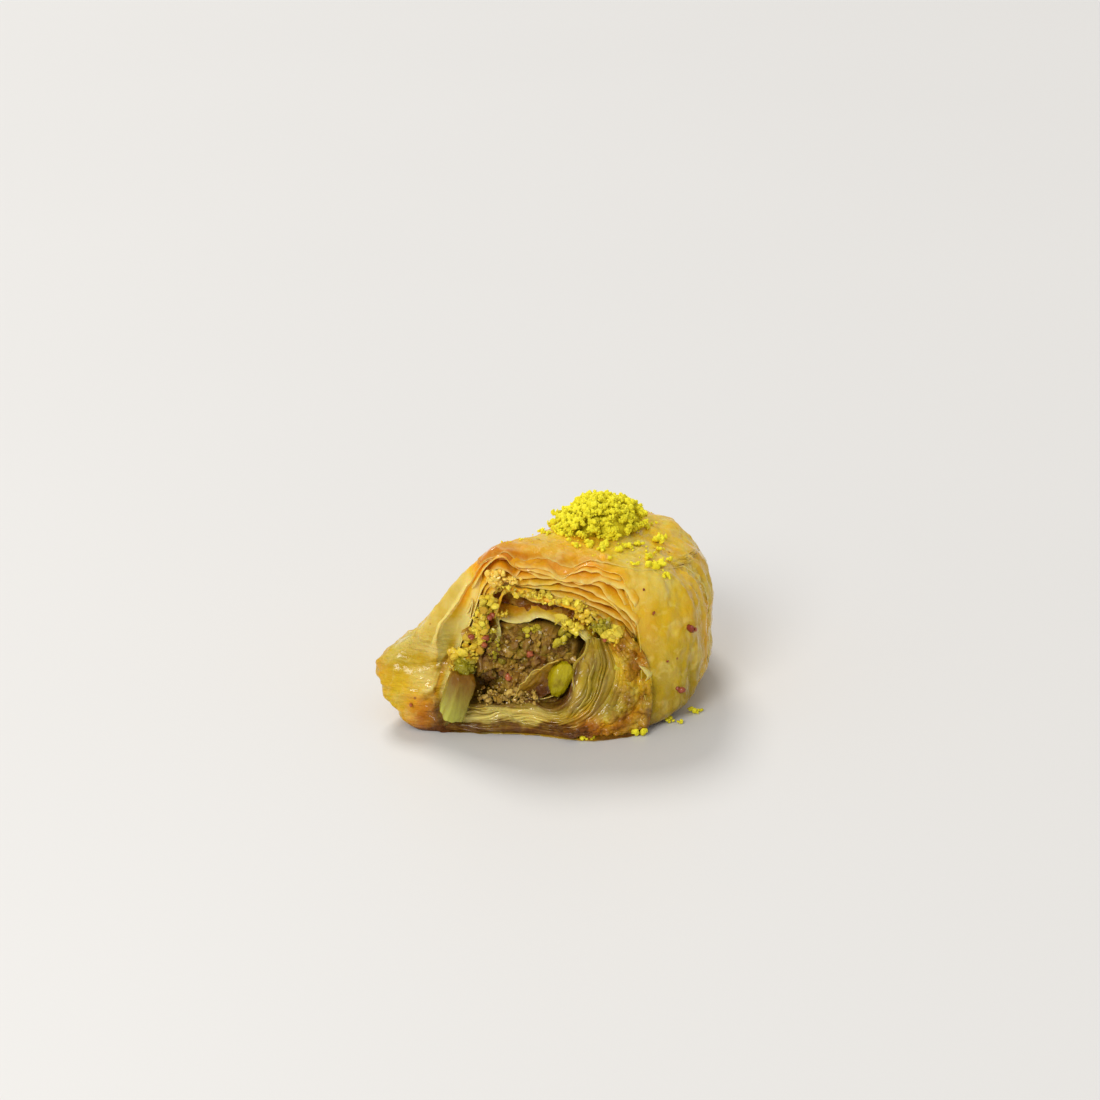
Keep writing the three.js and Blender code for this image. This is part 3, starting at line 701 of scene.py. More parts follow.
def outerSkin(material):
    v = skinValues
    grid = skinRelief(openedSkin(v["rows"], v["density"]))
    columns = grid.shape[1]
    line = raggedLine(columns, 0.7)
    ragged = roughNoise(line, 8, 31) * 0.5 + roughNoise(line, 1.5, 32) * 0.25
    x, z = grid[0, :, 0], grid[0, :, 2]
    steps = np.arange(v["rows"])[:, None]
    # at the left the skin rounds over into the mouth
    turned = smooth((-9 - x) / 5) * smooth((36.5 - z) / 4)
    grid[..., 1] += ragged * np.exp(-steps / 3.0)
    grid[..., 1] += 0.6 * turned * smooth((19 - z) / 8) * np.exp(-((steps / 9.0) ** 1.5))
    grid[..., 2] = np.maximum(grid[..., 2], v["clearance"])
    picked = np.unique(np.linspace(0, v["rows"] - 1, v["innerRows"]).astype(int))
    inner, middle = grid[picked], np.array(v["inside"])
    away = np.linalg.norm(inner - inner[:1], axis=-1)
    # elsewhere its rim is a rolled lip, thinner under the top leaves
    openness = 1 - 0.75 * band(x, -13, 17, 3) * smooth((z - 30) / 3)
    thick = v["thickness"] + v["lip"] * openness[None] * peak(away, 0, 3.0)
    thick = thick + 2.0 * turned[None] * peak(away, 0, 5.0)
    reach = np.linalg.norm(inner - middle, axis=-1, keepdims=True)
    inner = inner + (middle - inner) * thick[..., None] / reach
    third = mouthRim(grid[0][:, [0, 2]], archEdges["third"]["points"])
    hidden = xyz(third[:, 0], facePlace(*third.T) + 1.4, third[:, 1])
    inner[0] = mix(inner[0], hidden, turned[:, None])
    lip = []
    for share in np.linspace(1, 0, v["lipRows"] + 2)[1:-1]:
        row = mix(grid[0], inner[0], share)
        hollow = v["hollow"] * turned * (0.3 + 0.7 * smooth((z - 8) / 8))
        hollow = hollow - v["lipBulge"] * openness * (1 - turned)
        row[:, 1] += hollow * math.sin(math.pi * share ** 0.7)
        folds = creases(xyz(row[:, 0] - 0.4 * row[:, 2], 0, row[:, 2]), (1.5, 1, 16), 33, 0.0)
        row[:, 1] -= (0.16 * folds + 0.10 * roughNoise(row, 2.6, 34)) * turned * math.sin(math.pi * share)
        lip.append(row)
    points = np.concatenate([inner[::-1], np.array(lip), grid])
    points[..., 2] = np.maximum(points[..., 2], v["clearance"])
    first = len(inner) - 1
    last = first + v["lipRows"]
    # low at the left the rim is worn round and wrinkled
    step = np.arange(len(points))
    near = (peak(step, last, 16.0) * smooth((step - first - 1) / 7))[:, None, None]
    worn = (turned * smooth((20.5 - z) / 5))[None, :, None] * near
    for _ in range(v["wornPasses"]):
        points[1:-1] = mix(points[1:-1], (points[:-2] + 2 * points[1:-1] + points[2:]) / 4, worn[1:-1])
    wrinkles = creases(points, (4.5, 4, 1.7), 36, 0.3) * 0.3 + roughNoise(points, 1.4, 37) * 0.2
    points[..., 1] -= worn[..., 0] * wrinkles
    flat, faces = closeEnds(points, columns)
    fields = pastryFields(flat)
    own = np.zeros(points.shape[:2])
    own[first:first + v["lipRows"] + 1] = turned[None]
    height = points[..., 2]
    slanted = (points - points[..., 2:] * [0.4, 0, 0]) * [1, 0, 0.12]
    warm = smooth((height - 21) / 9) * 0.44 - 0.12 + 0.5 * softNoise(slanted, 1.8, 35)
    fields["toast"][:-2] += (own * warm).reshape(-1)
    fields["green"][:-2] += (own * (0.22 - 0.34 * smooth((height - 22) / 8))).reshape(-1)
    fields["burn"][:-2] += (own * 0.02).reshape(-1)
    rim = np.zeros(points.shape[:2])
    rim[last - 1:last + 2] = 0.8 * (1 - turned * smooth((24 - z) / 4))
    # a painted highlight: the pale strip beside the crease at the left; and the pale strip along the mouth
    paintedHighlight = turned * smooth((z - 15) / 3) * smooth((34 - z) / 4)
    inside = 0.7 * turned * smooth((z - 11) / 4) * smooth((31 - z) / 4)
    # the painted highlight fades over these rows away from the crease
    for step in range(2, v["highlightRows"]):
        rim[last + step] = paintedHighlight * (1 - step / v["highlightRows"]) ** 0.5
    for step in range(v["innerStrip"]):
        rim[first + step] = inside * (1 - step / v["innerStrip"])
    fields["rim"] = np.concatenate([rim.reshape(-1), [0, 0]])
    return makeMesh("outer_skin", flat, faces, fields, material), grid


# sheets on the skin; `long` counts rows of the skin, and the wrap's end starts at row `from`, less `slant`
overlayValues = {
    "lift": 0.13, "thickness": 0.17, "curl": 0.08, "rows": 40,
    "top": {"ring": 40, "search": 110, "long": 50, "ragged": 0.4, "toast": 0.04},
    "wrap": {"ring": 100, "long": 34, "ragged": 1.2, "toast": -0.06, "lift": 1.6, "from": 128, "slant": 62},
}


def overlay(bundle, grid, startRow, long, columns, seed, toast, lift=1.0):
    # a second sheet lying on the skin; startRow gives the skin row of its free edge for each column
    v = overlayValues
    rows, endRow = v["rows"], np.minimum(startRow + long, len(grid) - 2)
    shares = np.linspace(0, 1, rows)[:, None] ** 1.5
    position = startRow[None, :] + (endRow[None, :] - startRow[None, :]) * shares
    low = np.clip(np.floor(position).astype(int), 0, len(grid) - 2)
    part = clamp(position - low)[..., None]
    normal = gridNormals(grid, True)
    place = mix(grid[low, columns], grid[low + 1, columns], part)
    outward = mix(normal[low, columns], normal[low + 1, columns], part)
    across = np.linspace(0, 1, len(columns))[None, :]
    ends = smooth(np.minimum(across, 1 - across) / 0.04)
    height = v["lift"] * lift * smooth((1 - shares) / 0.25) * ends + 0.02
    curl = v["curl"] * np.exp(-shares * rows / 2.2) * (0.3 + softNoise(place, 5, seed)) * lift
    flush = 1 - smooth((place[..., 0] - 12) / 5) * smooth((place[..., 2] - 18) / 8)
    sheet = place + outward * (height * flush + curl * flush + 0.01)[..., None]
    fields = pastryFields(sheet)
    fields["toast"] = fields["toast"] + toast
    sheet[..., 2] = np.maximum(sheet[..., 2], 0.12)
    bundle.addSheet(sheet, v["thickness"], rim=0.7 * np.exp(-shares * rows / 1.5), **fields)


# free edge of the sheet that lies on the skin: over the top as (x, y)
topEdge = [(-14, -30.5), (-11, -30.2), (-9, -28.9), (-6.6, -29.3), (-4.1, -29.4), (-1.8, -28.9),
           (0.7, -28.8), (3.3, -29.4), (5.8, -29.8), (7.9, -29.1), (9.6, -28.5), (11.7, -28.6),
           (14.8, -28.2), (17.8, -28.3), (20.5, -28.2), (22.9, -27.8), (26, -28.4), (29, -27.6),
           (31, -26.6), (34, -25)]
# the same edge down the right side as (z, y)
sideEdge = [(0, -9.0), (4, -10.5), (9, -12.4), (14, -11.8), (19, -13.0), (23, -12.2), (27, -13.6),
            (31, -17.0), (35, -23.0)]


def ringRun(mask):
    # the columns where a mask holds, in order round the ring
    count = len(mask)
    first = np.where(mask & ~np.roll(mask, 1))[0][0]
    run = (first + np.arange(count)) % count
    return run[:int(np.argmin(mask[run]))]


def overlays(grid, material):
    # the top sheet: its free edge runs over the front, round the right corner and down the side
    bundle, v = Bundle(), overlayValues["top"]
    ring = grid[v["ring"]]
    run = ringRun((ring[:, 0] > 6) & (ring[:, 2] > 0.8) | (ring[:, 2] > 31) & (ring[:, 0] > -14))
    part = grid[:v["search"], run]
    onTop = smooth((part[..., 2] - 30.5) / 4)
    down = np.interp(part[..., 2], *np.array(sideEdge).T)
    over = np.interp(part[..., 0], *np.array(topEdge).T)
    ahead = part[..., 1] - mix(down, over, onTop)
    row = np.maximum(np.argmax(ahead > 0, axis=0), 1)
    pick = np.arange(len(run))
    start = row - ahead[row, pick] / (ahead[row, pick] - ahead[row - 1, pick])
    start = np.maximum(start + roughNoise(raggedLine(len(run)), 2.0, 44) * v["ragged"], 1.0)
    overlay(bundle, grid, start, v["long"], run, 45, v["toast"])
    # the end of the wrap, slanting over the left side to the back
    v = overlayValues["wrap"]
    ring = grid[v["ring"]]
    run = ringRun((ring[:, 0] < 14) & (ring[:, 2] > 1.0))
    share = np.linspace(0, 1, len(run))
    ragged = roughNoise(raggedLine(len(run)), 3.0, 46) * v["ragged"]
    start = v["from"] - v["slant"] * share ** 1.3 + ragged
    overlay(bundle, grid, start, v["long"], run, 47, v["toast"], v["lift"])
    bundle.build("laid_sheets", material)
    stage("sheets laid on the skin")


# front edges of the leaves in the arch, as (x, z); `back` is how far each lies behind the face
archEdges = {
    "second": {"back": 0.1, "rise": 3.0, "leftRise": 0.6, "leftFrom": -5.5, "leftTop": 99, "toast": 0.06,
               "toastBack": 0.20, "points": [
        (-16.0, 29.4), (-14.3, 32.7), (-12.6, 35.5), (-10.7, 37.0), (-8.5, 37.2), (-7.1, 36.1),
        (-5.4, 35.3), (-3.3, 34.6), (-1.2, 34.0), (1.4, 33.6), (3.0, 33.1), (5.2, 32.9), (7.3, 32.7),
        (9.4, 32.5), (10.6, 32.9), (12.3, 32.9), (13.6, 32.1), (14.9, 31.2), (16.4, 30.8), (17.4, 29.3),
        (18.5, 26.9), (19.3, 24.8)]},
    "third": {"back": 0.5, "rise": 1.9, "leftRise": 0.2, "leftFrom": -12.0, "toast": 0.02,
              "toastBack": 0.22, "points": [
        (-20.0, 3.0), (-20.7, 6.5), (-20.6, 9.5), (-20.1, 12.2), (-19.3, 14.7), (-18.4, 17.2),
        (-17.7, 19.6), (-16.7, 21.8), (-15.8, 23.9), (-14.9, 26.5), (-14.1, 28.9), (-13.0, 31.5),
        (-11.9, 33.6), (-10.2, 35.1), (-8.3, 34.7), (-6.5, 33.6), (-4.3, 33.4), (-1.2, 33.2), (2.0, 32.6),
        (5.2, 32.2), (7.3, 31.9), (9.4, 31.9), (11.5, 31.1), (13.2, 29.4), (15.3, 27.7), (17.4, 26.0),
        (18.9, 23.6), (19.6, 21.0)]},
    "fourth": {"back": 0.9, "rise": 1.3, "leftRise": 0.2, "leftFrom": -11.5, "toast": 0.02, "burn": 0.04,
               "toastBack": 0.20, "points": [
        (-18.0, 16.6), (-17.1, 19.0), (-16.0, 21.4), (-15.2, 23.6), (-14.3, 26.2), (-13.4, 28.4),
        (-12.4, 30.9), (-10.7, 32.9), (-8.4, 33.1), (-5.8, 31.8), (-3.3, 30.9), (-0.1, 30.5), (3.1, 30.1),
        (6.2, 30.1), (7.9, 29.5), (9.8, 28.6), (11.5, 28.2), (13.6, 26.9), (15.8, 25.6), (17.7, 23.7),
        (18.9, 21.0), (19.3, 18.5)]},
    "inner": {"back": 1.7, "rise": 1.2, "leftRise": 1.2, "leftFrom": -11.0, "toast": -0.05,
              "toastBack": 0.3, "points": [
        (-12.4, 21.3), (-12.0, 25.0), (-11.6, 27.5), (-10.5, 29.4), (-8.6, 30.3), (-6.9, 30.1),
        (-5.0, 29.2), (-2.9, 28.2), (-1.2, 27.5), (1.4, 27.5), (3.5, 27.1), (5.6, 27.3), (7.3, 27.0),
        (9.0, 25.8), (10.9, 24.6), (12.4, 23.5), (13.7, 22.3), (15.4, 21.4), (17.1, 20.1), (18.3, 18.0)]},
}
# leaves that run between two of them: first edge, second edge, share, back
archBetween = [("second", "third", 0.45, 0.55), ("third", "fourth", 0.5, 1.0),
               ("fourth", "inner", 0.35, 1.6), ("fourth", "inner", 0.75, 2.1)]
leafValues = {"spacing": 0.32, "rows": 14, "depth": 7.0, "thickness": 0.24, "wave": 0.16, "ragged": 0.32,
              "nick": 0.16, "paleWidth": 0.38, "middle": (-1.0, 14.0)}


def leafSheet(bundle, edge, back, rise, seed, fall=1.0, depth=leafValues["depth"], wave=1.0, ragged=1.0,
              dive=2.5, middle=leafValues["middle"], leftRise=None, leftFrom=-11.0, leftTop=33.0,
              toast=0.0, green=0.0, burn=0.0, burnBack=0.0, toastBack=0.0, rim=1.0):
    # a thin leaf: its ragged front edge, and rows behind it that bend up and away from the middle
    v = leafValues
    x, z = edge.T
    length = lengthAlong(x, z)
    line = xyz(length, 0, seed * 7.7)
    outward = unit(edge - np.array(middle))
    fromEnd = np.minimum(length, length[-1] - length)
    front = facePlace(x, z) + back + dive * (1 - smooth(fromEnd / 3.0))
    front += ragged * (roughNoise(line, 6, 51) * v["ragged"] * 1.6 + roughNoise(line, 1.3, 52, 2) * v["nick"])
    arched = leftRise is not None
    reach, calm = np.full(len(edge), float(rise)), 1.0
    if arched:
        reach = mix(reach, leftRise, smooth((leftFrom - x) / 2.5) * smooth((leftTop - z) / 4))
        calm = 1 - 0.85 * smooth((-11.5 - x) / 2.5)
    reach = reach * smooth((z - 3.5) / 5)
    rows, shares = [], np.linspace(0, 1, v["rows"]) ** 1.9
    for gone in shares * depth:
        ripple = softNoise(line + [0, gone * 0.25, 0], (4, 1, 1), 53) * 2.2
        ripple += softNoise(line + [0, gone * 0.4, 0], (1.5, 1, 1), 54)
        bend = reach * (1 - np.exp(-gone / fall)) + calm * wave * v["wave"] * ripple
        xz = edge + outward * bend[:, None]
        rows.append(xyz(xz[:, 0], front + gone, np.maximum(xz[:, 1], 0.3)))
    grid = np.array(rows)
    fields = pastryFields(grid)
    gone = (shares * depth)[:, None]
    behind = smooth(gone / 3.0)
    fields["toast"] = fields["toast"] + toast + toastBack * behind
    if arched:
        # more orange on the right, pale edges down the left
        fields["green"] = fields["green"] * 0.4
        edgeOnly = 1 - clamp(behind * 6)
        fields["toast"] += 0.26 * smooth((x - 1) / 6) - 0.45 * smooth((-12.5 - x) / 2) * edgeOnly
    fields["green"] = clamp(fields["green"] + green)
    fields["burn"] = clamp(fields["burn"] + burn + burnBack * behind)
    thin = v["thickness"] * (0.75 + 0.5 * behind)
    pale = rim * peak(gone, 0, v["paleWidth"]) * clamp(0.75 + 0.6 * roughNoise(grid, 2.5, seed + 3))
    bundle.addSheet(grid, thin, pale, **fields)


softRollValues = {"wide": 0.62, "back": 1.1, "sides": 16, "points": [
    (-10.6, 24.6), (-10.3, 26.3), (-9.6, 28.5), (-8.6, 30.1), (-7.1, 30.8), (-5.4, 30.4), (-3.3, 29.8),
    (-1.2, 29.0), (0.9, 28.4), (3.1, 27.7), (5.2, 27.1), (7.5, 26.0)]}


def softRoll(bundle):
    # the inner leaf's edge is curled up into a thick soft roll
    v = softRollValues
    path = smoothCurve(v["points"], 0.25)
    line = raggedLine(len(path), 0.25)
    swell = np.sqrt(np.sin(np.linspace(0.03, 0.97, len(path)) * math.pi))
    wide = (v["wide"] * (1 + 0.45 * roughNoise(line, 2.2, 86)) * swell)[:, None]
    turn = np.arange(v["sides"]) / v["sides"] * 2 * math.pi
    along = np.gradient(path, axis=0)
    across = unit(np.stack([-along[:, 1], along[:, 0]], axis=-1))
    xz = path[:, None] + across[:, None] * (np.cos(turn)[None, :] * wide)[..., None]
    y = facePlace(*path.T) + v["back"] + 0.3 * roughNoise(line, 3, 88)
    grid = xyz(xz[..., 0], y[:, None] + np.sin(turn) * wide * 1.3, xz[..., 1])
    grid += roughNoise(grid, 0.9, 87)[..., None] * np.array([0.10, 0.16, 0.10])
    flat, faces = closeEnds(grid, v["sides"])
    fields = pastryFields(flat)
    fields["toast"] = 0.50 + 0.3 * roughNoise(flat, 2.0, 89)
    fields["rim"] = clamp(0.35 * roughNoise(flat, 1.5, 85))
    bundle.add(flat, faces, **fields)


def wandering(first, second, share, own, amount, size, seed, low, high):
    # a line between two others that wanders about its share of the way
    line = raggedLine(max(len(first), len(second)), leafValues["spacing"], own)
    lean = clamp(share + amount * softNoise(line, (size, 1, 1), seed), low, high)
    return between(first, second, lean[:, None])


def archLeaves(material):
    spacing, bundle = leafValues["spacing"], Bundle()
    edges = {name: smoothCurve(edge["points"], spacing) for name, edge in archEdges.items()}
    for number, (name, edge) in enumerate(archEdges.items()):
        looks = {key: value for key, value in edge.items() if key != "points"}
        leafSheet(bundle, edges[name], seed=10 + number, fall=1.5, wave=1.7, **looks)
    # a drooping leaf between the skin's rim and the second leaf
    rim = smoothCurve([point for point in rimPoints if -8 < point[0] < 17 and point[1] > 30], spacing)
    droop = edges["second"][(edges["second"][:, 0] > -8) & (edges["second"][:, 0] < 17)]
    leafSheet(bundle, between(rim, droop, 0.45), -0.1, 1.6, 31, fall=1.2, toast=0.1, toastBack=0.1, dive=1.0,
              wave=2.2)
    for number, (first, second, share, back) in enumerate(archBetween):
        edge = wandering(edges[first], edges[second], share, number * 9.0, 0.25, 7, 70, 0.05, 0.95)
        leafSheet(bundle, edge, back, 1.3, 20 + number, leftRise=0.25, toastBack=0.18, burn=0.05, wave=1.9)
    softRoll(bundle)
    bundle.build("arch_leaves", material)
    stage("leaves of the arch")


# the inner roll: its sheet over the filling, and the guides between which its leaves fan out
rollGuides = {
    "sheet": [(-16.5, 9.8), (-15.2, 12.0), (-13.7, 13.8), (-12.3, 15.3), (-11.0, 17.0), (-9.9, 18.9),
              (-9.3, 21.1), (-9.6, 22.8), (-9.5, 23.7), (-8.6, 23.4), (-7.1, 23.0), (-5.0, 23.0),
              (-3.3, 23.2), (-2.0, 23.9), (-0.1, 23.9), (1.4, 23.4), (3.1, 22.6), (5.2, 21.5), (6.9, 20.7),
              (8.2, 19.4), (9.2, 17.4)],
    "fanInner": [(8.8, 19.6), (8.2, 17.0), (6.9, 14.7), (5.8, 12.3), (5.4, 9.9), (4.7, 7.9), (3.4, 6.4),
                 (1.4, 5.4), (-0.3, 5.5), (-1.8, 6.2), (-3.5, 6.8), (-6.1, 6.5), (-9.3, 5.8), (-12.5, 6.0),
                 (-15.3, 5.9), (-19.5, 5.5)],
    "fanOuter": [(11.7, 19.8), (13.0, 16.9), (13.5, 14.2), (13.0, 11.5), (12.2, 8.9), (10.9, 6.8),
                 (9.0, 4.8), (6.2, 3.4), (3.1, 2.3), (-0.1, 2.3), (-3.3, 2.9), (-6.7, 3.2), (-8.6, 4.5),
                 (-10.3, 4.3), (-12.0, 3.4), (-15.3, 3.2), (-20.0, 3.2)],
    "torn": [(14.0, 20.6), (17.3, 17.5), (19.4, 14.0), (20.3, 10.0), (20.0, 6.0), (17.4, 3.4), (13.0, 2.2),
             (8.5, 1.6), (4.0, 1.3), (0.0, 1.4), (-6.0, 2.0), (-12.0, 1.8), (-20.5, 1.8)],
    "foot": [(16.5, 22.0), (20.6, 17.5), (22.4, 12.0), (22.6, 6.0), (21.6, 1.5), (18.5, 0.3), (14.0, 0.1),
             (8.0, 0.1), (0.0, 0.1), (-8.0, 0.1), (-16.0, 0.1), (-22.5, 0.1)],
    "cup": [(5.6, 11.9), (4.6, 9.8), (3.1, 8.5), (1.4, 7.6), (-0.1, 7.1), (-2.0, 7.2), (-3.8, 7.6),
            (-5.7, 7.1), (-7.8, 6.4), (-10.2, 6.8), (-12.7, 6.6)],
}
rollFlap = [(18.6, 16.2), (19.4, 15.0), (20.4, 14.0), (21.2, 12.6), (20.8, 11.4)]
# `over` has, for each sheet over the filling, how far out and how far back it lies
rollValues = {"over": ((0.0, 2.2), (0.45, 1.9)), "sheets": (0.0, 0.5), "back": (1.5, 0.3), "knot": 7.0}
# the fanned leaves below the roll as one pleated surface: guide, place across, how far behind the face
fanRows = [("fanInner", -0.10, 5.0), ("fanInner", -0.02, 2.6), ("fanInner", 0.03, 1.5),
           ("fanOuter", 0.42, 0.5), ("torn", 0.82, 0.2), ("foot", 0.97, 0.5), ("foot", 1.04, 2.2)]
fanValues = {"columns": 310, "rows": 155, "leaves": 11, "long": 45, "wide": 26, "ridge": 0.80, "swell": 0.9,
             "rough": 1.0, "thickness": 0.3}


def fanSurface(material):
    # leaves pressed together like the pages of a book, torn to rough crumbs on the right and at the foot
    v = fanValues
    count = v["columns"]
    lines = np.array([resampled(smoothCurve(rollGuides[name], 0.3), count) for name, _, _ in fanRows])
    places, backs = np.array([row[1:] for row in fanRows]).T
    along = np.linspace(0, 1, count)
    rows, across = [], np.linspace(places[0], places[-1], v["rows"])
    for place in across:
        x = [np.interp(place, places, lines[:, k, 0]) for k in range(count)]
        z = [np.interp(place, places, lines[:, k, 1]) for k in range(count)]
        rows.append(xyz(x, np.interp(place, places, backs), z))
    grid = np.array(rows)
    share = across[:, None] + along[None, :] * 0
    run = xyz(along[None, :] * v["long"], share * v["wide"], 0)
    leaf = share * v["leaves"] + 1.9 * softNoise(run, (12, 6, 1), 61) + 0.9 * softNoise(run, (4, 2.5, 1), 62)
    part = leaf - np.floor(leaf)
    own = xyz(run[..., 0], np.floor(leaf) * 9.0, 0)
    strong = clamp(0.55 + 0.9 * softNoise(own, (8, 1, 1), 63), 0.05, 1.3)
    page = (1 - part) ** 0.9 * smooth(part / 0.30)
    crumple = roughNoise(run, (5, 1.6, 1), 69, 3)
    torn = smooth((share - 0.46) / 0.22) * smooth((0.62 - along[None, :]) / 0.10)
    x, z = grid[..., 0], grid[..., 2]
    relief = page * strong * v["ridge"] * (1 - 0.55 * torn)
    relief += softNoise(run, (9, 4.5, 1), 64) * v["swell"] + crumple * 0.22
    place = xyz(x, 0, z)
    relief += torn * (roughNoise(place, 2.6, 65, 4) * v["rough"] + roughNoise(place, 0.8, 68) * 0.28 + 0.5)
    relief *= smooth((share - places[0]) / 0.12)
    dive = 2.5 * (1 - smooth(along[None, :] / 0.05))
    grid[..., 1] += facePlace(x, z) - relief + dive + 1.1 * clamp(1 - z / 2.0) ** 2
    grid[..., 2] = np.maximum(z + relief * 0.12, 0.2)
    # painted shade in the valleys where each page goes under the one before
    valleyShade = (1 - page) * strong
    crumbly = roughNoise(place, 3.2, 66, 3)
    left = smooth((4 - x) / 6) * smooth((7.5 - z) / 3)
    # the stack's foot: browner and darker, partly the real underside crust and partly painted shade
    low = smooth((3.0 - z + 0.5 * crumbly) / 1.2) * smooth((11 - x) / 4)
    lump = spot(x, z, (9.5, 2.6), (3.5, 2.6))
    golden = smooth((z - 8) / 5) * smooth((x - 12.5) / 3)
    toast = 0.34 + 0.20 * torn + 0.3 * torn * crumbly - 0.22 * left + 0.25 * low + 0.6 * lump
    green = 0.66 - 0.30 * torn - 0.45 * left - 0.6 * low - 0.6 * lump - 0.16 * golden
    green = green + 0.4 * softNoise(run, (7, 3, 1), 67)
    # painted shade also darkens the innermost rows, deep behind the face
    burn = 0.30 + 0.26 * valleyShade - 0.16 * left + 0.55 * smooth((0.13 - share) / 0.13) + 0.9 * low
    burn = burn + 0.2 * crumple - 0.24 * golden + torn * (0.08 + 0.30 * crumbly)
    # pale free edges of the pages
    pale = 0.55 * smooth((page - 0.66) / 0.25) * strong * (1 - 0.7 * torn) * (1 - low) * clamp(0.6 + crumple)
    bundle = Bundle()
    bundle.addSheet(grid, v["thickness"], pale, toast=toast, green=clamp(green), burn=clamp(burn, 0, 0.94))
    bundle.build("fanned_leaves", material)
    stage("fanned leaves")


def rollLeaves(material):
    v, spacing = rollValues, leafValues["spacing"]
    guides = {name: smoothCurve(points, spacing) for name, points in rollGuides.items()}
    bundle, edge = Bundle(), guides["sheet"]
    away = unit(edge - np.array(leafValues["middle"]))
    for number, (offset, back) in enumerate(v["over"]):
        wander = 0.7 + 0.5 * softNoise(xyz(edge[:, 0], edge[:, 1], 0), 5, number)
        leafSheet(bundle, edge + away * (offset * wander)[:, None], back, 3.6 - number * 0.6, 40 + number,
                  fall=2.6, toast=-0.34, toastBack=0.75, burnBack=0.10, dive=1.0, ragged=0.6)
    leafSheet(bundle, guides["cup"], 2.4, 0.5, 47, toast=-0.1, green=0.2, toastBack=0.2, burnBack=0.3,
              burn=0.3, dive=1.2)
    for number, place in enumerate(v["sheets"]):
        edge = wandering(guides["fanInner"], guides["fanOuter"], place, place * 2.0, 0.12, 6, 71, -0.05, 1.05)
        # the leaves start together at the knot
        knot = smooth(np.arange(len(edge)) * spacing / v["knot"])[:, None]
        edge = mix(np.array([mix(8.9, 11.0, place), 19.9]) + (edge - edge[0]), edge, mix(0.3, 1.0, knot))
        back = mix(v["back"][0], v["back"][1], place) - 0.5
        leafSheet(bundle, edge, back, 1.0, 50 + number, fall=0.7, depth=2.6, toast=-0.1, green=0.35, burn=0.1,
                  burnBack=0.25, dive=1.5, wave=1.6, ragged=1.6, rim=0.35, middle=(-30.0, 40.0))
    leafSheet(bundle, smoothCurve(rollFlap, 0.2), -0.9, 1.1, 48, depth=2.2, toast=-0.5, green=-0.3, burn=-0.3,
              dive=0.5, wave=2.0, ragged=1.5)
    bundle.build("inner_roll", material)
    stage("inner roll")


# the flap's free edge and its foot, as (x, z)
foldEdge = [(-6.6, 7.4), (-6.3, 9.0), (-5.7, 10.4), (-5.2, 11.4), (-4.1, 12.5), (-3.4, 12.9), (-2.6, 14.0),
            (-1.5, 14.4), (-0.4, 15.4), (0.9, 15.9), (2.6, 16.4)]
foldFoot = [(-4.2, 5.9), (-1.8, 6.6), (0.2, 7.6), (2.0, 8.8), (3.4, 10.4), (4.6, 12.4), (5.2, 15.0)]
foldValues = {"rows": 40, "y": -35.0, "hollow": 2.1, "lean": 0.9, "ragged": 0.28, "thickness": 0.14}


def foldedFlap(material):
    # a torn leaf turned up before the filling: cream edge, brown hollow behind it
    v, bundle = foldValues, Bundle()
    edge, foot = smoothCurve(foldEdge, 0.2), smoothCurve(foldFoot, 0.2)
    line = raggedLine(len(edge), 0.2)
    ragged = np.stack([roughNoise(line, 1.6, 91), roughNoise(line, 1.6, 92)], axis=-1)
    edge = edge + ragged * v["ragged"]
    rows, shares = [], np.linspace(0, 1, v["rows"])
    for share in shares:
        x, z = between(edge, foot, share).T
        hollow = v["hollow"] * math.sin(math.pi * min(1.0, share * 0.75)) ** 0.7
        place = xyz(x, 0, z)
        noise = creases(place, (2.6, 1, 1.6), 90, 0.8) * 0.28 + roughNoise(place, 1.1, 93) * 0.16
        rows.append(xyz(x, v["y"] + hollow - v["lean"] * math.exp(-share * 7) + noise, z))
    grid, share = np.array(rows), shares[:, None]
    slanted = xyz(grid[..., 0] - 0.6 * grid[..., 2], 0, grid[..., 2] * 0.3)
    streak = creases(slanted, 0.9, 94, 0.0)
    burn = 0.46 + 0.50 * smooth(share * 1.4) - 0.14 * streak
    bundle.addSheet(grid, v["thickness"] + 0.3 * smooth(share * 5), clamp(0.42 * np.exp(-share * 9)),
                    toast=0.36 + 0.2 * share, green=0.03 - 0.06 * streak, burn=burn)
    bundle.build("folded_flap", material)
    stage("folded flap")


doughValues = {"density": 3, "rows": 40, "inset": 2.6, "recess": 3.4, "wallRows": 16, "wallDepth": 7.0,
               "middle": (-2.0, -33.0, 14.0), "front": -32}


def innerDough(material):
    # the soaked leaves deep behind the mouth
    v = doughValues
    skin = openedSkin(v["rows"], v["density"])
    middle = np.array(skinValues["inside"])
    skin = skin + (middle - skin) * (v["inset"] / np.linalg.norm(skin - middle, axis=-1, keepdims=True))
    shares = np.linspace(0.06, 0.97, v["wallRows"])
    wall = np.array([mix(np.array(v["middle"]), skin[0], share) for share in shares])
    deep = smooth((0.92 - shares) / 0.25)[:, None] * v["wallDepth"]
    wall[..., 1] = facePlace(wall[..., 0], wall[..., 2]) + v["recess"] + deep
    skin = skin[skin[:, :, 1].min(axis=1) > v["front"]]
    grid = np.concatenate([wall, skin])
    grid[..., 1] += roughNoise(grid, 2.5, 70) * 0.5
    grid[..., 2] = np.maximum(grid[..., 2], 0.5)
    flat, faces = closeEnds(grid, grid.shape[1])
    fields = pastryFields(flat)
    arch = smooth((flat[:, 2] - 20) / 5)
    fields["toast"] = fields["toast"] + 0.25 * arch
    fields["burn"] = clamp(fields["burn"] + 0.55 - 0.35 * arch + 0.3 * roughNoise(flat, 3, 74))
    fields["rim"] = np.zeros(len(flat))
    makeMesh("inner_dough", flat, faces, fields, material)
    stage("inner dough")


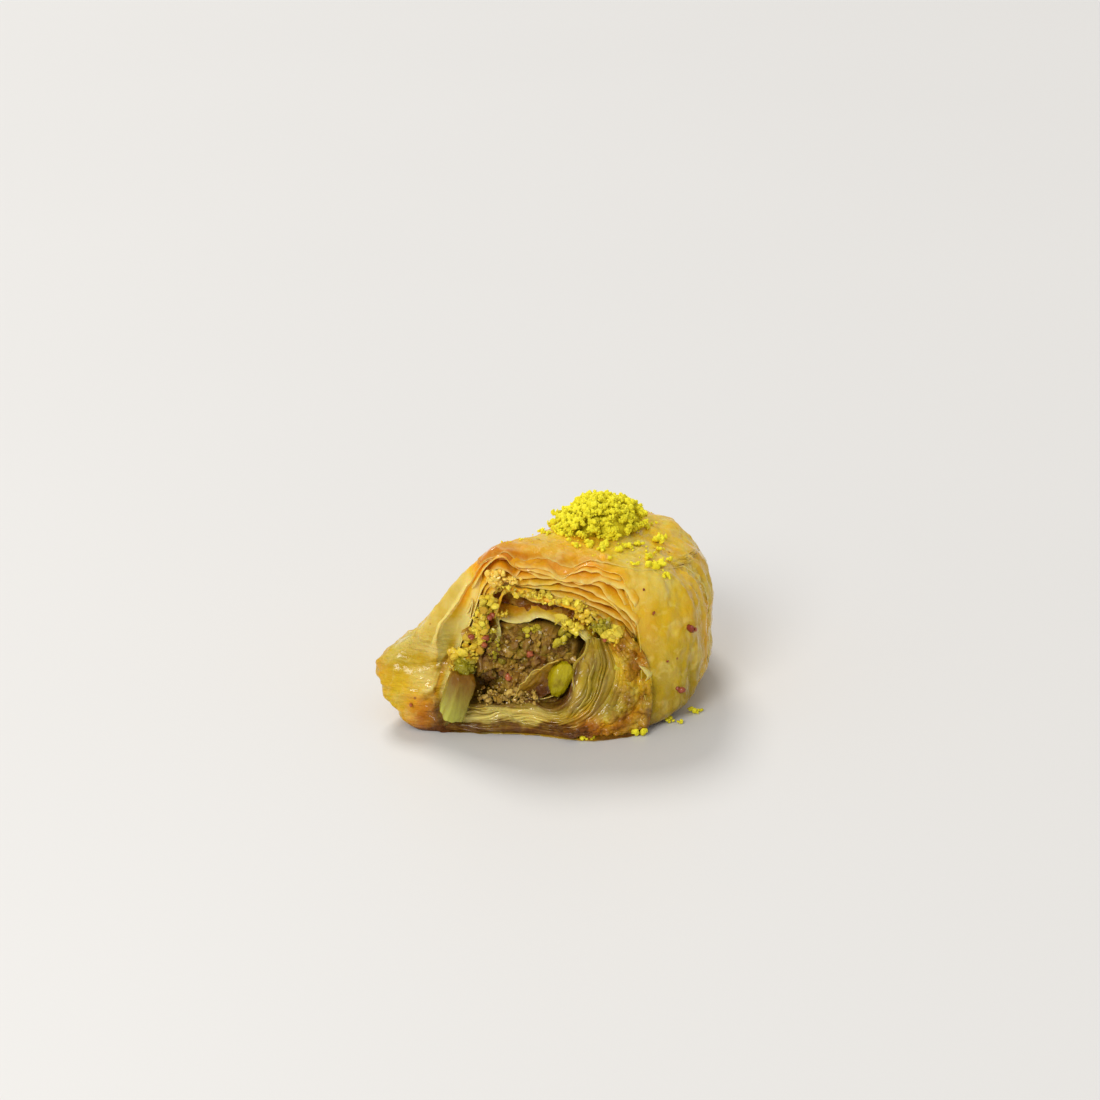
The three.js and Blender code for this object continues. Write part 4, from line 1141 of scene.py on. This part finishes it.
def lumpShape(detail):
    # a unit icosphere as arrays
    name = "lump" + str(detail)
    if name not in bpy.data.meshes:
        shape = bmesh.new()
        bmesh.ops.create_icosphere(shape, subdivisions=detail, radius=1.0)
        mesh = bpy.data.meshes.new(name)
        shape.to_mesh(mesh)
        shape.free()
    mesh = bpy.data.meshes[name]
    points = np.empty(len(mesh.vertices) * 3)
    mesh.vertices.foreach_get("co", points)
    corners = np.empty(len(mesh.polygons) * 3, dtype=np.int32)
    mesh.polygons.foreach_get("vertices", corners)
    return points.reshape(-1, 3), corners.reshape(-1, 3)


def addCrumb(bundle, centre, size, rng, shade, burn=0.0, detail=2, rough=0.5, stretch=(0.7, 1.25), chips=0):
    # a knobbly crumb, turned and shaped its own way; `chips` is how many flat breaks it has
    points, faces = lumpShape(detail)
    turn, _ = np.linalg.qr(rng.normal(size=(3, 3)))
    if np.linalg.det(turn) < 0:
        turn[0] = -turn[0]
    offset = rng.uniform(-90, 90, 3)
    knob = 1 + rough * (softNoise(points + offset, 0.9, 80) + 0.55 * softNoise(points + offset, 0.42, 81))
    if chips:
        facing = points @ unit(rng.normal(size=(chips, 3))).T
        reach = rng.uniform(0.5, 0.95, chips) / np.maximum(facing, 0.1)
        reach = np.where(facing > 0.1, reach, 9.0).min(axis=1)
        knob = np.minimum(knob + 0.15, reach * 1.1)
    shape = (points * knob[:, None] * rng.uniform(*stretch, 3)) @ turn * (size / 2)
    bundle.add(shape + np.asarray(centre), [faces], shade=shade, burn=burn)


def addCloud(bundle, rng, at, spread, count, sizes, shades, burn):
    # crumbs round a place, more small ones than large
    for _ in range(count):
        centre = np.array(at) + clamp(rng.normal(size=3), -1.7, 1.7) * np.array(spread)
        size = mix(sizes[0], sizes[1] * 1.2, rng.uniform() ** 2.8)
        shade = mix(shades[0], shades[1], rng.uniform() ** 0.8)
        dark, detail = burn * rng.uniform() ** 2, 2 if size > 1 else 1
        addCrumb(bundle, centre, size, rng, shade, dark, detail, 0.3, (0.6, 1.35), 8)


fillingValues = {"front": -31.8, "upperFront": -28.6, "grains": 950, "spread": (9.6, 7.6), "seed": 31}
# hollows in the front of both fillings: (x, z), size and depth
pasteHollows = [((-11.0, 9.5), (2.6, 3.0), 2.2), ((-8.0, 21.5), (5.0, 1.6), 1.6),
                ((5.8, 18.5), (2.6, 2.6), 2.4), ((3.4, 10.5), (4.4, 4.2), 2.6),
                ((-5.6, 13.4), (2.0, 1.6), 1.2)]
nutHollows = [((-5.5, 27.8), (4.5, 1.8), 2.6)]
lowerRoom = {"x": -3.8, "z": 13.6, "left": 11.0, "right": 10.6, "up": 9.2, "down": 8.2, "square": 2.8,
             "tilt": 0.12}
upperRoom = {"fromX": -11.6, "toX": 17.5, "height": 27.7, "drop": 9.5, "half": 2.2}
roomBack = {"y": 23, "x": 20.5, "scale": 0.55, "floor": 3.5}
roomFront = {"y": -48, "x": -2, "straight": 18}


def alongRoom(x, z, y):
    # where a point of the front comes to lie at the depth y, as the room shrinks and turns
    bend = roomFront["y"] + roomFront["straight"]
    t = clamp((y - bend) / (roomBack["y"] - bend))
    scale = mix(1, roomBack["scale"], smooth(t))
    middle = mix(roomFront["x"], roomBack["x"], t)
    height = roomBack["floor"] + (z - roomBack["floor"]) * scale
    return xyz(middle + (x - roomFront["x"]) * scale, y, height)


def lowerOutline(count, inset):
    r = lowerRoom
    turn = np.arange(count) / count * 2 * math.pi
    c, s = np.cos(turn), np.sin(turn)
    across = np.sign(c) * np.abs(c) ** (2 / r["square"])
    up = np.sign(s) * np.abs(s) ** (2 / r["square"])
    x = r["x"] + across * (np.where(c > 0, r["right"], r["left"]) - inset)
    z = r["z"] + up * (np.where(s > 0, r["up"], r["down"]) - inset)
    return x, z - r["tilt"] * (x - r["x"])


def upperOutline(count, inset):
    r = upperRoom
    turn = np.arange(count) / count * 2 * math.pi
    along = 0.5 - 0.5 * np.cos(turn)
    x = mix(r["toX"] - inset, r["fromX"] + inset, along)
    side = np.sin(turn)
    thick = (r["half"] - inset) * np.sign(side) * np.abs(side) ** 0.6
    return x, r["height"] - r["drop"] * (1 - along) ** 2 + thick


def roomCore(name, outline, front, material, bump, seed, hollows, paintedShade=0.0):
    # the paste itself: a lumpy front closed over the sweep of its outline
    count, discs, steps = 200, 44, 10
    x, z = outline(count, 0.1)
    rows = np.array([xyz(mix(x.mean(), x, share), front, mix(z.mean(), z, share))
                     for share in np.linspace(0.02, 1, discs)])
    push = roughNoise(rows, 4.5, seed) * bump + roughNoise(rows, 1.6, seed + 1) * bump * 0.55
    push += roughNoise(rows, 0.6, seed + 2, 2) * bump * 0.25
    for at, size, depth in hollows:
        push -= depth * spot(rows[..., 0], rows[..., 2], at, size)
    rows[..., 1] -= push
    body = [alongRoom(x, z, y) for y in np.linspace(front + 4.5, roomBack["y"] - 1, steps)]
    grid = np.concatenate([rows, body])
    flat, faces = closeEnds(grid, count)
    fields = {"shade": clamp(0.45 + 0.5 * roughNoise(flat, 2.2, seed + 3)),
              "burn": clamp(paintedShade + 0.35 * roughNoise(flat, 3.5, seed + 4))}
    return makeMesh(name, flat, faces, fields, material)


# yellow, green and brown nut crumbs: at, spread, count, sizes, shades
nutClouds = [
    ((-12.0, -32.6, 27.8), (0.8, 0.6, 1.5), 90, (0.4, 1.5), (0.1, 1.0)),
    ((-13.6, -32.9, 24.2), (0.8, 0.6, 1.7), 100, (0.4, 1.5), (0.1, 1.0)),
    ((-14.8, -33.0, 20.4), (1.1, 0.6, 1.6), 110, (0.4, 1.7), (0.0, 1.0)),
    ((-16.4, -33.2, 16.8), (1.1, 0.6, 1.4), 90, (0.4, 1.6), (0.0, 0.9)),
    ((-8.4, -31.6, 31.2), (1.2, 0.4, 0.4), 40, (0.3, 0.9), (0.3, 1.0)),
    ((-3.0, -31.6, 30.1), (2.2, 0.4, 0.4), 90, (0.3, 1.2), (0.3, 1.0)),
    ((2.2, -31.4, 28.5), (2.2, 0.4, 0.3), 60, (0.3, 1.1), (0.4, 1.0)),
    ((7.0, -31.0, 27.2), (1.0, 0.5, 0.6), 40, (0.4, 1.6), (0.5, 1.0)),
    ((8.6, -30.9, 24.8), (1.5, 0.6, 0.9), 60, (0.4, 1.5), (0.0, 0.7)),
    ((3.6, -32.6, 24.7), (0.8, 0.3, 0.4), 9, (1.2, 2.6), (0.8, 1.0)),
    ((5.6, -32.2, 22.6), (1.2, 0.4, 0.6), 26, (0.5, 1.8), (0.3, 1.0)),
    ((14.2, -31.9, 21.2), (1.0, 0.5, 0.7), 22, (0.8, 2.6), (0.6, 1.0)),
    ((16.4, -32.5, 19.2), (1.3, 0.5, 1.0), 50, (0.4, 1.4), (0.0, 0.6)),
    ((-9.5, -31.0, 25.2), (1.2, 0.5, 0.4), 20, (0.4, 0.9), (0.1, 0.7)),
    ((-19.2, -33.4, 13.4), (0.6, 0.5, 2.4), 90, (0.4, 1.5), (0.0, 0.6)),
]
greenClouds = [
    ((11.2, -31.6, 22.6), (1.2, 0.5, 1.0), 50, (0.4, 1.7), (0.1, 0.9)),
    ((-2.5, -32.0, 21.9), (0.8, 0.4, 0.7), 10, (0.8, 1.9), (0.3, 0.9)),
    ((4.4, -31.8, 21.2), (1.2, 0.5, 0.6), 20, (0.6, 1.9), (0.0, 0.6)),
    ((3.3, -32.5, 19.4), (0.4, 0.3, 0.5), 5, (1.4, 2.6), (0.9, 1.0)),
    ((15.0, -33.6, 14.6), (0.7, 0.4, 0.7), 8, (0.9, 2.0), (0.4, 0.9)),
    ((-17.2, -35.2, 14.2), (1.1, 0.6, 1.2), 60, (0.4, 1.4), (0.0, 0.7)),
    ((-10.6, -33.4, 18.2), (0.8, 0.5, 1.6), 22, (0.5, 1.3), (0.0, 0.6)),
    ((-13.0, -33.4, 22.5), (1.2, 0.5, 3.0), 26, (0.4, 1.2), (0.2, 0.9)),
]
crestClouds = [
    ((-10.6, -32.1, 34.0), (1.0, 0.4, 0.8), 56, (0.3, 1.4), (0.4, 1.0)),
    ((-7.0, -31.8, 33.4), (1.2, 0.4, 0.4), 30, (0.3, 1.0), (0.4, 1.0)),
]
syrupClouds = [
    ((-8.2, -34.3, 7.7), (3.6, 0.6, 0.9), 230, (0.3, 1.2), (0.0, 0.8)),
    ((-3.0, -34.0, 7.2), (1.2, 0.4, 0.6), 26, (0.3, 1.1), (0.0, 0.7)),
]
# red bits of nut skin: at, size
redSpots = [((-11.3, -33.9, 26.0), 1.5), ((-12.4, -33.5, 20.9), 1.7), ((-13.0, -33.6, 19.6), 1.4),
            ((-15.4, -34.2, 21.4), 1.5), ((-3.4, -32.6, 17.0), 1.6), ((-2.2, -32.5, 14.6), 1.2),
            ((-7.6, -32.4, 11.6), 1.3), ((12.6, -32.4, 20.5), 1.0)]
# the piece that each list of clouds makes: its material and how brown its crumbs may be
crumbPieces = {"nut_crumbs": (nutClouds, "nuts", 0.6), "green_crumbs": (greenClouds, "green_nuts", 0.6),
               "syrup_crumbs": (syrupClouds, "syrup_nuts", 0.6),
               "crest_crumbs": (crestClouds, "golden_crumbs", 0.1)}


def fillings(finishes):
    v = fillingValues
    rng = np.random.default_rng(v["seed"])
    paste = finishes["paste"]
    lower = roomCore("paste", lowerOutline, v["front"], paste, 1.9, 90, pasteHollows)
    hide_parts("filling")
    bundle = Bundle()
    for _ in range(v["grains"]):
        turn, share = rng.uniform(0, 2 * math.pi), math.sqrt(rng.uniform())
        x = lowerRoom["x"] + v["spread"][0] * share * math.cos(turn)
        z = lowerRoom["z"] + v["spread"][1] * share * math.sin(turn)
        sunk = sum(depth * spot(x, z, at, size) for at, size, depth in pasteHollows)
        size = mix(0.4, 2.5, rng.uniform() ** 2.6)
        y = v["front"] + rng.normal() * 0.5 + sunk + size * 0.12
        # painted shade: grains low at the left are darkened
        dim = 0.45 * float(smooth((-6 - x) / 5) * smooth((17 - z) / 5))
        shade = clamp(rng.uniform() + 0.25 * (x > -5))
        dark, detail = rng.uniform() ** 3 * 0.7 + dim, 2 if size > 1.2 else 1
        chips = 9 if size < 1.6 else 0
        addCrumb(bundle, (x, y, z), size, rng, shade, dark, detail, 0.6, (0.6, 1.4), chips)
    bundle.build("paste_grains", paste, "filling", flat=True)
    # the upper nut layer is darkened in full, painted shade for the hollow under the arch leaves
    upper = roomCore("nut_paste", upperOutline, v["upperFront"], finishes["nuts"], 1.3, 95,
                     nutHollows, paintedShade=1.0)
    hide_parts("nut_layer")
    for name, (clouds, finish, burn) in crumbPieces.items():
        bundle = Bundle()
        for cloud in clouds:
            addCloud(bundle, rng, *cloud, burn)
        bundle.build(name, finishes[finish], "nuts", flat=True)
    bundle = Bundle()
    for at, size in redSpots:
        for _ in range(3):
            place = np.array(at) + rng.normal(size=3) * 0.25
            addCrumb(bundle, place, size * rng.uniform(0.6, 1.0), rng, rng.uniform(), 0.0, 2, 0.3, chips=7)
    bundle.build("nut_skins", finishes["nut_skins"], "nuts")
    stage("fillings")


# each kernel's form, its flat cuts as (direction, distance), and its colours inside, outside and in stains
kernelValues = {
    "kernel_pale": {
        "at": (-18.6, -36.9, 8.4), "size": (6.1, 6.2, 11.6), "turn": (0.15, 0.26, 0.20), "taper": -0.10,
        "square": 3.6, "cleft": 0.02, "rough": 0.09, "seed": 110,
        "cuts": [((-0.05, 0, -1), 0.70), ((0.25, -1, 0.1), 0.74), ((-0.9, -0.5, 0.15), 0.84),
                 ((0.9, -0.45, 0.0), 0.86)],
        "colours": ((0.46, 0.46, 0.07), (0.20, 0.085, 0.002), (0.26, 0.15, 0.008))},
    "kernel_bright": {
        "at": (3.0, -33.9, 11.8), "size": (4.6, 5.2, 8.2), "turn": (0, 0.34, 0.2), "taper": 0.16,
        "square": 2.2, "cleft": 0.02, "rough": 0.12, "seed": 120, "cuts": [],
        "colours": ((0.36, 0.30, 0.002), (0.46, 0.37, 0.004), (0.26, 0.17, 0.005))},
    "kernel_green": {
        "at": (-17.2, -35.4, 14.6), "size": (3.5, 4.4, 4.3), "turn": (0.2, -0.2, 0), "taper": 0.1,
        "square": 2.4, "cleft": 0.0, "rough": 0.34, "seed": 130, "cuts": [],
        "colours": ((0.15, 0.13, 0.003), (0.30, 0.25, 0.006), (0.10, 0.065, 0.004))},
}


def rotation(turn):
    # turned about x, then y, then z
    ax, ay, az = turn
    rx = np.array([[1, 0, 0], [0, math.cos(ax), -math.sin(ax)], [0, math.sin(ax), math.cos(ax)]])
    ry = np.array([[math.cos(ay), 0, math.sin(ay)], [0, 1, 0], [-math.sin(ay), 0, math.cos(ay)]])
    rz = np.array([[math.cos(az), -math.sin(az), 0], [math.sin(az), math.cos(az), 0], [0, 0, 1]])
    return rz @ ry @ rx


def kernel(name, material):
    # a rounded block with flat cuts and a cleft down its front
    v = kernelValues[name]
    square, seed = v["square"], v["seed"]
    points, faces = lumpShape(5)
    x, y, z = np.abs(points.T)
    corner = 1 / np.maximum((x ** square + y ** square + z ** square) ** (1 / square), 1e-6)
    shape = points * corner[:, None]
    width = 1 + v["taper"] * shape[:, 2]
    shape = shape * xyz(width, width, 1.0)
    for side, flat in v["cuts"]:
        # what reaches past the plane is pressed back on it
        side = unit(np.array(side))
        past = np.maximum(shape @ side - flat, 0)
        shape = shape - side * past[:, None] * 0.85
    cleft = peak(shape[:, 0] + 0.1 + 0.25 * shape[:, 2], 0, 0.10) * (shape[:, 1] < 0)
    shape *= 1 + v["rough"] * roughNoise(shape, 0.8, seed, 4)[:, None] - v["cleft"] * cleft[:, None]
    placed = (shape * np.array(v["size"]) / 2) @ rotation(v["turn"]).T + np.array(v["at"])
    fields = {"shade": clamp(0.5 + 0.5 * roughNoise(shape, 1.2, seed + 2)), "height": 0.5 + 0.5 * shape[:, 2]}
    piece = makeMesh(name.replace("kernel", "nut"), placed, [faces], fields, material)
    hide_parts(name)


heapValues = {"x": 11.2, "y": -7.5, "radius": 9.5, "height": 6.1, "lean": 1.1, "columns": 110, "rows": 34,
              "core": 0.84, "clumps": 230, "leftClumps": 60, "onDome": 0.6, "grains": 3600, "large": 620,
              "seed": 5}


def topHeight(skin, x, y):
    # height of the skin's top at (x, y), from its nearest upper points
    upper = skin[skin[:, 2] > 15]
    near = np.argsort((upper[:, 0] - x) ** 2 + (upper[:, 1] - y) ** 2)[:6]
    return float(upper[near, 2].max())


def heapOutline(turn):
    # how far the heap reaches in a direction
    return heapValues["radius"] * (
        1 + 0.13 * math.sin(2 * turn + 0.5) + 0.08 * math.sin(5 * turn) + 0.05 * math.sin(9 * turn))


def lowLeft(x, drop, start):
    # the heap falls off at its left: the part of its height that it has at x
    return 1 - drop * float(smooth((heapValues["x"] - start - x) / 3))


def heapCore(material, skin, base):
    # the closed dome under the grains
    v = heapValues
    columns, rows = v["columns"], v["rows"]
    grid = []
    for r in range(rows):
        steep = r / rows * math.pi / 2
        for k in range(columns):
            turn = 2 * math.pi * k / columns
            reach = heapOutline(turn) * math.cos(steep) * v["core"]
            x = v["x"] + v["lean"] * math.sin(steep) + reach * math.cos(turn)
            y = v["y"] + reach * math.sin(turn)
            foot = topHeight(skin, x, y) - 0.5
            top = base + v["height"] - 1.5
            grid.append([x, y, mix(foot, top, math.sin(steep) * lowLeft(x, 0.68, 0.5))])
    grid = np.array(grid).reshape(rows, columns, 3)
    lumps = roughNoise(grid, 2.6, 100) * 0.8 + roughNoise(grid, 1.0, 102) * 0.35
    grid[..., 2] += lumps * np.linspace(0.3, 1, rows)[:, None]
    flat, faces = closeEnds(grid[:, ::-1], columns)
    flat[-2] = [v["x"], v["y"], base - 0.9]
    fields = {"shade": clamp(0.3 + 0.4 * roughNoise(flat, 1.5, 101)), "burn": np.full(len(flat), 0.1)}
    core = makeMesh("heap_core", flat, faces, fields, material)
    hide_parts("pistachio_heap")


def heapClumps(rng, skin, base):
    # where the grains gather: x, y, z, width and own shade of each clump
    v, clumps = heapValues, []
    crown = base + v["height"] - 0.5
    for _ in range(v["leftClumps"]):
        # the low left side of the heap
        x, y = v["x"] + rng.uniform(-7.5, -0.5), v["y"] + rng.uniform(-5.5, 5.5)
        foot, share = topHeight(skin, x, y), math.hypot(x - v["x"], y - v["y"]) / v["radius"]
        top = mix(foot, crown, math.sqrt(max(0.0, 1 - share ** 2)) * lowLeft(x, 0.42, 2.5))
        clumps.append([x, y, top + 0.3 * rng.normal(), rng.uniform(0.6, 1.1), rng.uniform()])
    for _ in range(v["clumps"]):
        # some are spread evenly over the ground and some over the dome's height
        turn, share = rng.uniform(0, 2 * math.pi), math.sqrt(rng.uniform())
        if rng.uniform() < v["onDome"]:
            share = math.sqrt(1 - rng.uniform() ** 2)
        rise = math.sqrt(max(0.0, 1 - share ** 2))
        reach = heapOutline(turn) * share * 0.96
        x = v["x"] + v["lean"] * rise + reach * math.cos(turn)
        y = v["y"] + reach * math.sin(turn)
        top = mix(topHeight(skin, x, y), crown, rise * lowLeft(x, 0.42, 2.5))
        clumps.append([x, y, top + 0.4 * rng.normal(), rng.uniform(0.5, 1.1), rng.uniform()])
    return clumps


def heap(material, skin):
    v = heapValues
    rng = np.random.default_rng(v["seed"])
    base = topHeight(skin, v["x"], v["y"])
    heapCore(material, skin, base)
    clumps = heapClumps(rng, skin, base)
    grains, dust = Bundle(), Bundle()
    for i in range(v["grains"]):
        x, y, z, wide, own = clumps[i % len(clumps)]
        away = rng.normal(size=3)
        away *= wide / np.linalg.norm(away) * rng.uniform(0.35, 1.0)
        centre = np.array([x, y, z]) + away * [1, 1, 0.85]
        centre[2] = max(centre[2], topHeight(skin, centre[0], centre[1]) + 0.1)
        large = i < v["large"]
        size = rng.uniform(0.7, 1.25) if large else rng.uniform(0.35, 0.75)
        # painted light: grains on the upper side of their clump are lighter, those below darker
        lit = float(clamp((away[2] / wide + 1) / 2))
        shade = 0.22 + 0.5 * lit + 0.2 * own + 0.3 * rng.uniform()
        burn = 0.5 * (rng.uniform() < 0.05)
        addCrumb(grains if large else dust, centre, size, rng, shade, burn, 2 if large else 1, 0.6)
    grains.build("heap_grains", material, "heap")
    dust.build("heap_dust", material, "heap")
    stage("heap")


# fallen crumbs: (x, y) on the top and how wide each little group is, and the same on the ground
strewn = [((4.8, -18.9), 1.6), ((6.5, -23.1), 1.9), ((9.0, -22.5), 1.4), ((12.0, -23.1), 2.1),
          ((12.9, -18.9), 1.9), ((15.9, -20.7), 2.2), ((18.7, -27.0), 1.5), ((21.8, -20.7), 1.9),
          ((23.7, -23.7), 3.4), ((25.5, -26.2), 1.8), ((24.1, -10.4), 2.6), ((24.6, -14.5), 1.6),
          ((0.7, -15.3), 1.6), ((3.3, -15.3), 1.8), ((9.5, -19.6), 2.6), ((17.5, -17.6), 2.4),
          ((20.0, -15.2), 2.0), ((1.8, -11.6), 1.8), ((-0.6, -12.6), 1.2), ((26.6, -18.0), 1.2),
          ((13.5, -26.8), 0.9), ((21.5, -25.6), 1.2), ((8.0, 4.5), 2.0), ((15.0, 5.5), 1.8),
          ((20.5, 1.5), 1.6), ((3.5, 2.0), 1.4), ((23.5, -3.0), 1.5), ((11.5, 9.0), 1.0),
          ((-1.5, -4.0), 1.2)]
fallen = [((31.7, -25.8), 2.3), ((27.0, -30.6), 1.6), ((28.9, -31.4), 0.9), ((19.8, -37.6), 2.2),
          ((8.5, -40.0), 1.9), ((10.0, -39.7), 1.2), ((33.6, -25.0), 0.8)]
strewnValues = {"seed": 23, "dusting": 70, "x": (-10, 27), "y": (-29, 8)}


def frontDepth(skin, x, z):
    # how far forward the skin lies at (x, z)
    near = skin[(np.abs(skin[:, 0] - x) < 1.0) & (np.abs(skin[:, 2] - z) < 1.0)]
    return float(near[:, 1].min())


stuckSeed = 29
# red and brown specks that stick to the skin: (x, z), size
stuck = [((31.1, 21.1), 1.9), ((31.9, 20.4), 1.1), ((23.0, 25.6), 0.9), ((29.1, 8.2), 1.6),
         ((28.2, 8.6), 1.1), ((-28.6, 5.9), 0.9), ((26.0, 15.0), 0.6), ((20.8, 30.6), 0.6)]


def stuckSpecks(material, skin):
    rng = np.random.default_rng(stuckSeed)
    bundle = Bundle()
    for (x, z), size in stuck:
        place = (x, frontDepth(skin, x, z) - size * 0.12, z)
        addCrumb(bundle, place, size, rng, rng.uniform(), 0.2, 2, 0.3, chips=7)
    bundle.build("stuck_specks", material, "nuts")
    stage("stuck specks")


def strewnCrumbs(material, skin):
    v = strewnValues
    rng = np.random.default_rng(v["seed"])
    bundle = Bundle()
    for (x, y), width in strewn:
        z = topHeight(skin, x, y)
        count = max(2, int(3.4 * width ** 1.3))
        for _ in range(count):
            place = np.array([x, y, 0.0]) + rng.normal(size=3) * width * [0.26, 0.26, 0]
            size = rng.uniform(0.45, 0.75 + 0.22 * width)
            place[2] = z + size * rng.uniform(0.05, 0.55)
            addCrumb(bundle, place, size, rng, rng.uniform(0.35, 1), 0.0, 2, 0.6)
    for (x, y), width in fallen:
        for _ in range(int(2 + 3 * width)):
            size = rng.uniform(0.5, 0.5 + 0.4 * width)
            place = [x + rng.normal() * 0.3 * width, y + rng.normal() * 0.15 * width,
                     size * rng.uniform(0.6, 0.9)]
            addCrumb(bundle, place, size, rng, rng.uniform(0.2, 0.9), 0.0, 2, 0.5)
    for _ in range(v["dusting"]):
        # a dusting beside the heap
        x, y = rng.uniform(*v["x"]), rng.uniform(*v["y"])
        size = rng.uniform(0.25, 0.6)
        addCrumb(bundle, (x, y, topHeight(skin, x, y) + 0.1), size, rng, rng.uniform(0.3, 1), 0.0, 1, 0.5)
    bundle.build("strewn_crumbs", material, "heap")
    stage("strewn crumbs")


# the camera: how high it looks from, how far away it is, and its lens as pixels of a picture `side` wide
viewValues = {"elevation": 21.23, "distance": 750.0, "aim": (1.0, 29.0, 12.0), "pixels": 3254.6, "side": 1100,
              "below": 20.0}
lightValues = {
    "world": 0.52, "worldColour": (1.0, 0.985, 0.96),
    "lamps": {
        "front": {"power": 1.70, "from": (-0.40, -0.80, 0.60), "wide": 26, "colour": (1.0, 0.98, 0.94)},
        "back": {"power": 1.62, "from": (-0.25, 0.75, 0.80), "wide": 20, "colour": (1.0, 0.97, 0.92)},
    },
}
floorValues = {"half": 6.0, "light": (0.69, 0.687, 0.685), "dark": (0.66, 0.657, 0.655)}


def floorAndLight():
    v, floor = floorValues, bpy.data.meshes.new("floor")
    half = v["half"]
    floor.from_pydata([(-half, -half, 0), (half, -half, 0), (half, half, 0), (-half, half, 0)], [],
                      [(0, 1, 2, 3)])
    plane = bpy.data.objects.new("floor", floor)
    bpy.context.scene.collection.objects.link(plane)
    r = Recipe("floor", Roughness=0.45, IOR=1.4)
    floor.materials.append(r.finish(Base_Color=r.blend(v["dark"], v["light"], r.noise(300, 2.0, 0.5))))
    world = bpy.data.worlds.new("studio")
    bpy.context.scene.world = world
    world.use_nodes = True
    background = world.node_tree.nodes["Background"]
    background.inputs[0].default_value = (*lightValues["worldColour"], 1.0)
    background.inputs[1].default_value = lightValues["world"]
    for name, v in lightValues["lamps"].items():
        light = bpy.data.lights.new(name, "SUN")
        light.energy, light.angle, light.color = v["power"], math.radians(v["wide"]), v["colour"]
        lamp = bpy.data.objects.new(name, light)
        lamp.rotation_mode = "QUATERNION"
        lamp.rotation_quaternion = (-mathutils.Vector(v["from"])).to_track_quat("-Z", "Y")
        bpy.context.scene.collection.objects.link(lamp)
    bpy.context.scene.view_settings.view_transform = "Standard"


def camera():
    v = viewValues
    tilt = math.radians(v["elevation"])
    aim = np.array(v["aim"]) + centreShift
    place = aim + v["distance"] * np.array([0, -math.cos(tilt), math.sin(tilt)])
    eye = bpy.data.cameras.new("camera")
    eye.sensor_fit, eye.sensor_width = "HORIZONTAL", 36
    eye.lens = v["pixels"] / v["side"] * eye.sensor_width
    eye.shift_y = v["below"] / v["side"]
    eye.clip_start, eye.clip_end = 0.01, 20
    seat = bpy.data.objects.new("camera", eye)
    seat.location = place * millimetre
    seat.rotation_euler = (math.pi / 2 - tilt, 0, 0)
    bpy.context.scene.collection.objects.link(seat)
    bpy.context.scene.camera = seat


stage("camera, floor and light")
camera()
floorAndLight()
skinFinish = pastryMaterial("pastry_skin", skin=True)
leafFinish = pastryMaterial("pastry_leaf")
archFinish = pastryMaterial("pastry_arch", colours=leafColours)
finishes = {name: nutMaterial(name, **looks) for name, looks in nutValues.items()}
kernelFinishes = {name: kernelMaterial(name, *looks["colours"]) for name, looks in kernelValues.items()}

stage("skin")
skinPiece, skinPoints = outerSkin(skinFinish)
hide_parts("pastry")
overlays(skinPoints, skinFinish)
innerDough(leafFinish)
archLeaves(archFinish)
fanSurface(leafFinish)
rollLeaves(leafFinish)
foldedFlap(leafFinish)
fillings(finishes)
stage("kernels")
for kernelName, finish in kernelFinishes.items():
    kernel(kernelName, finish)
flatSkin = skinPoints[::2, ::2].reshape(-1, 3)
heap(finishes["ground_pistachio"], flatSkin)
strewnCrumbs(finishes["ground_pistachio"], flatSkin)
stuckSpecks(finishes["nut_skins"], flatSkin)
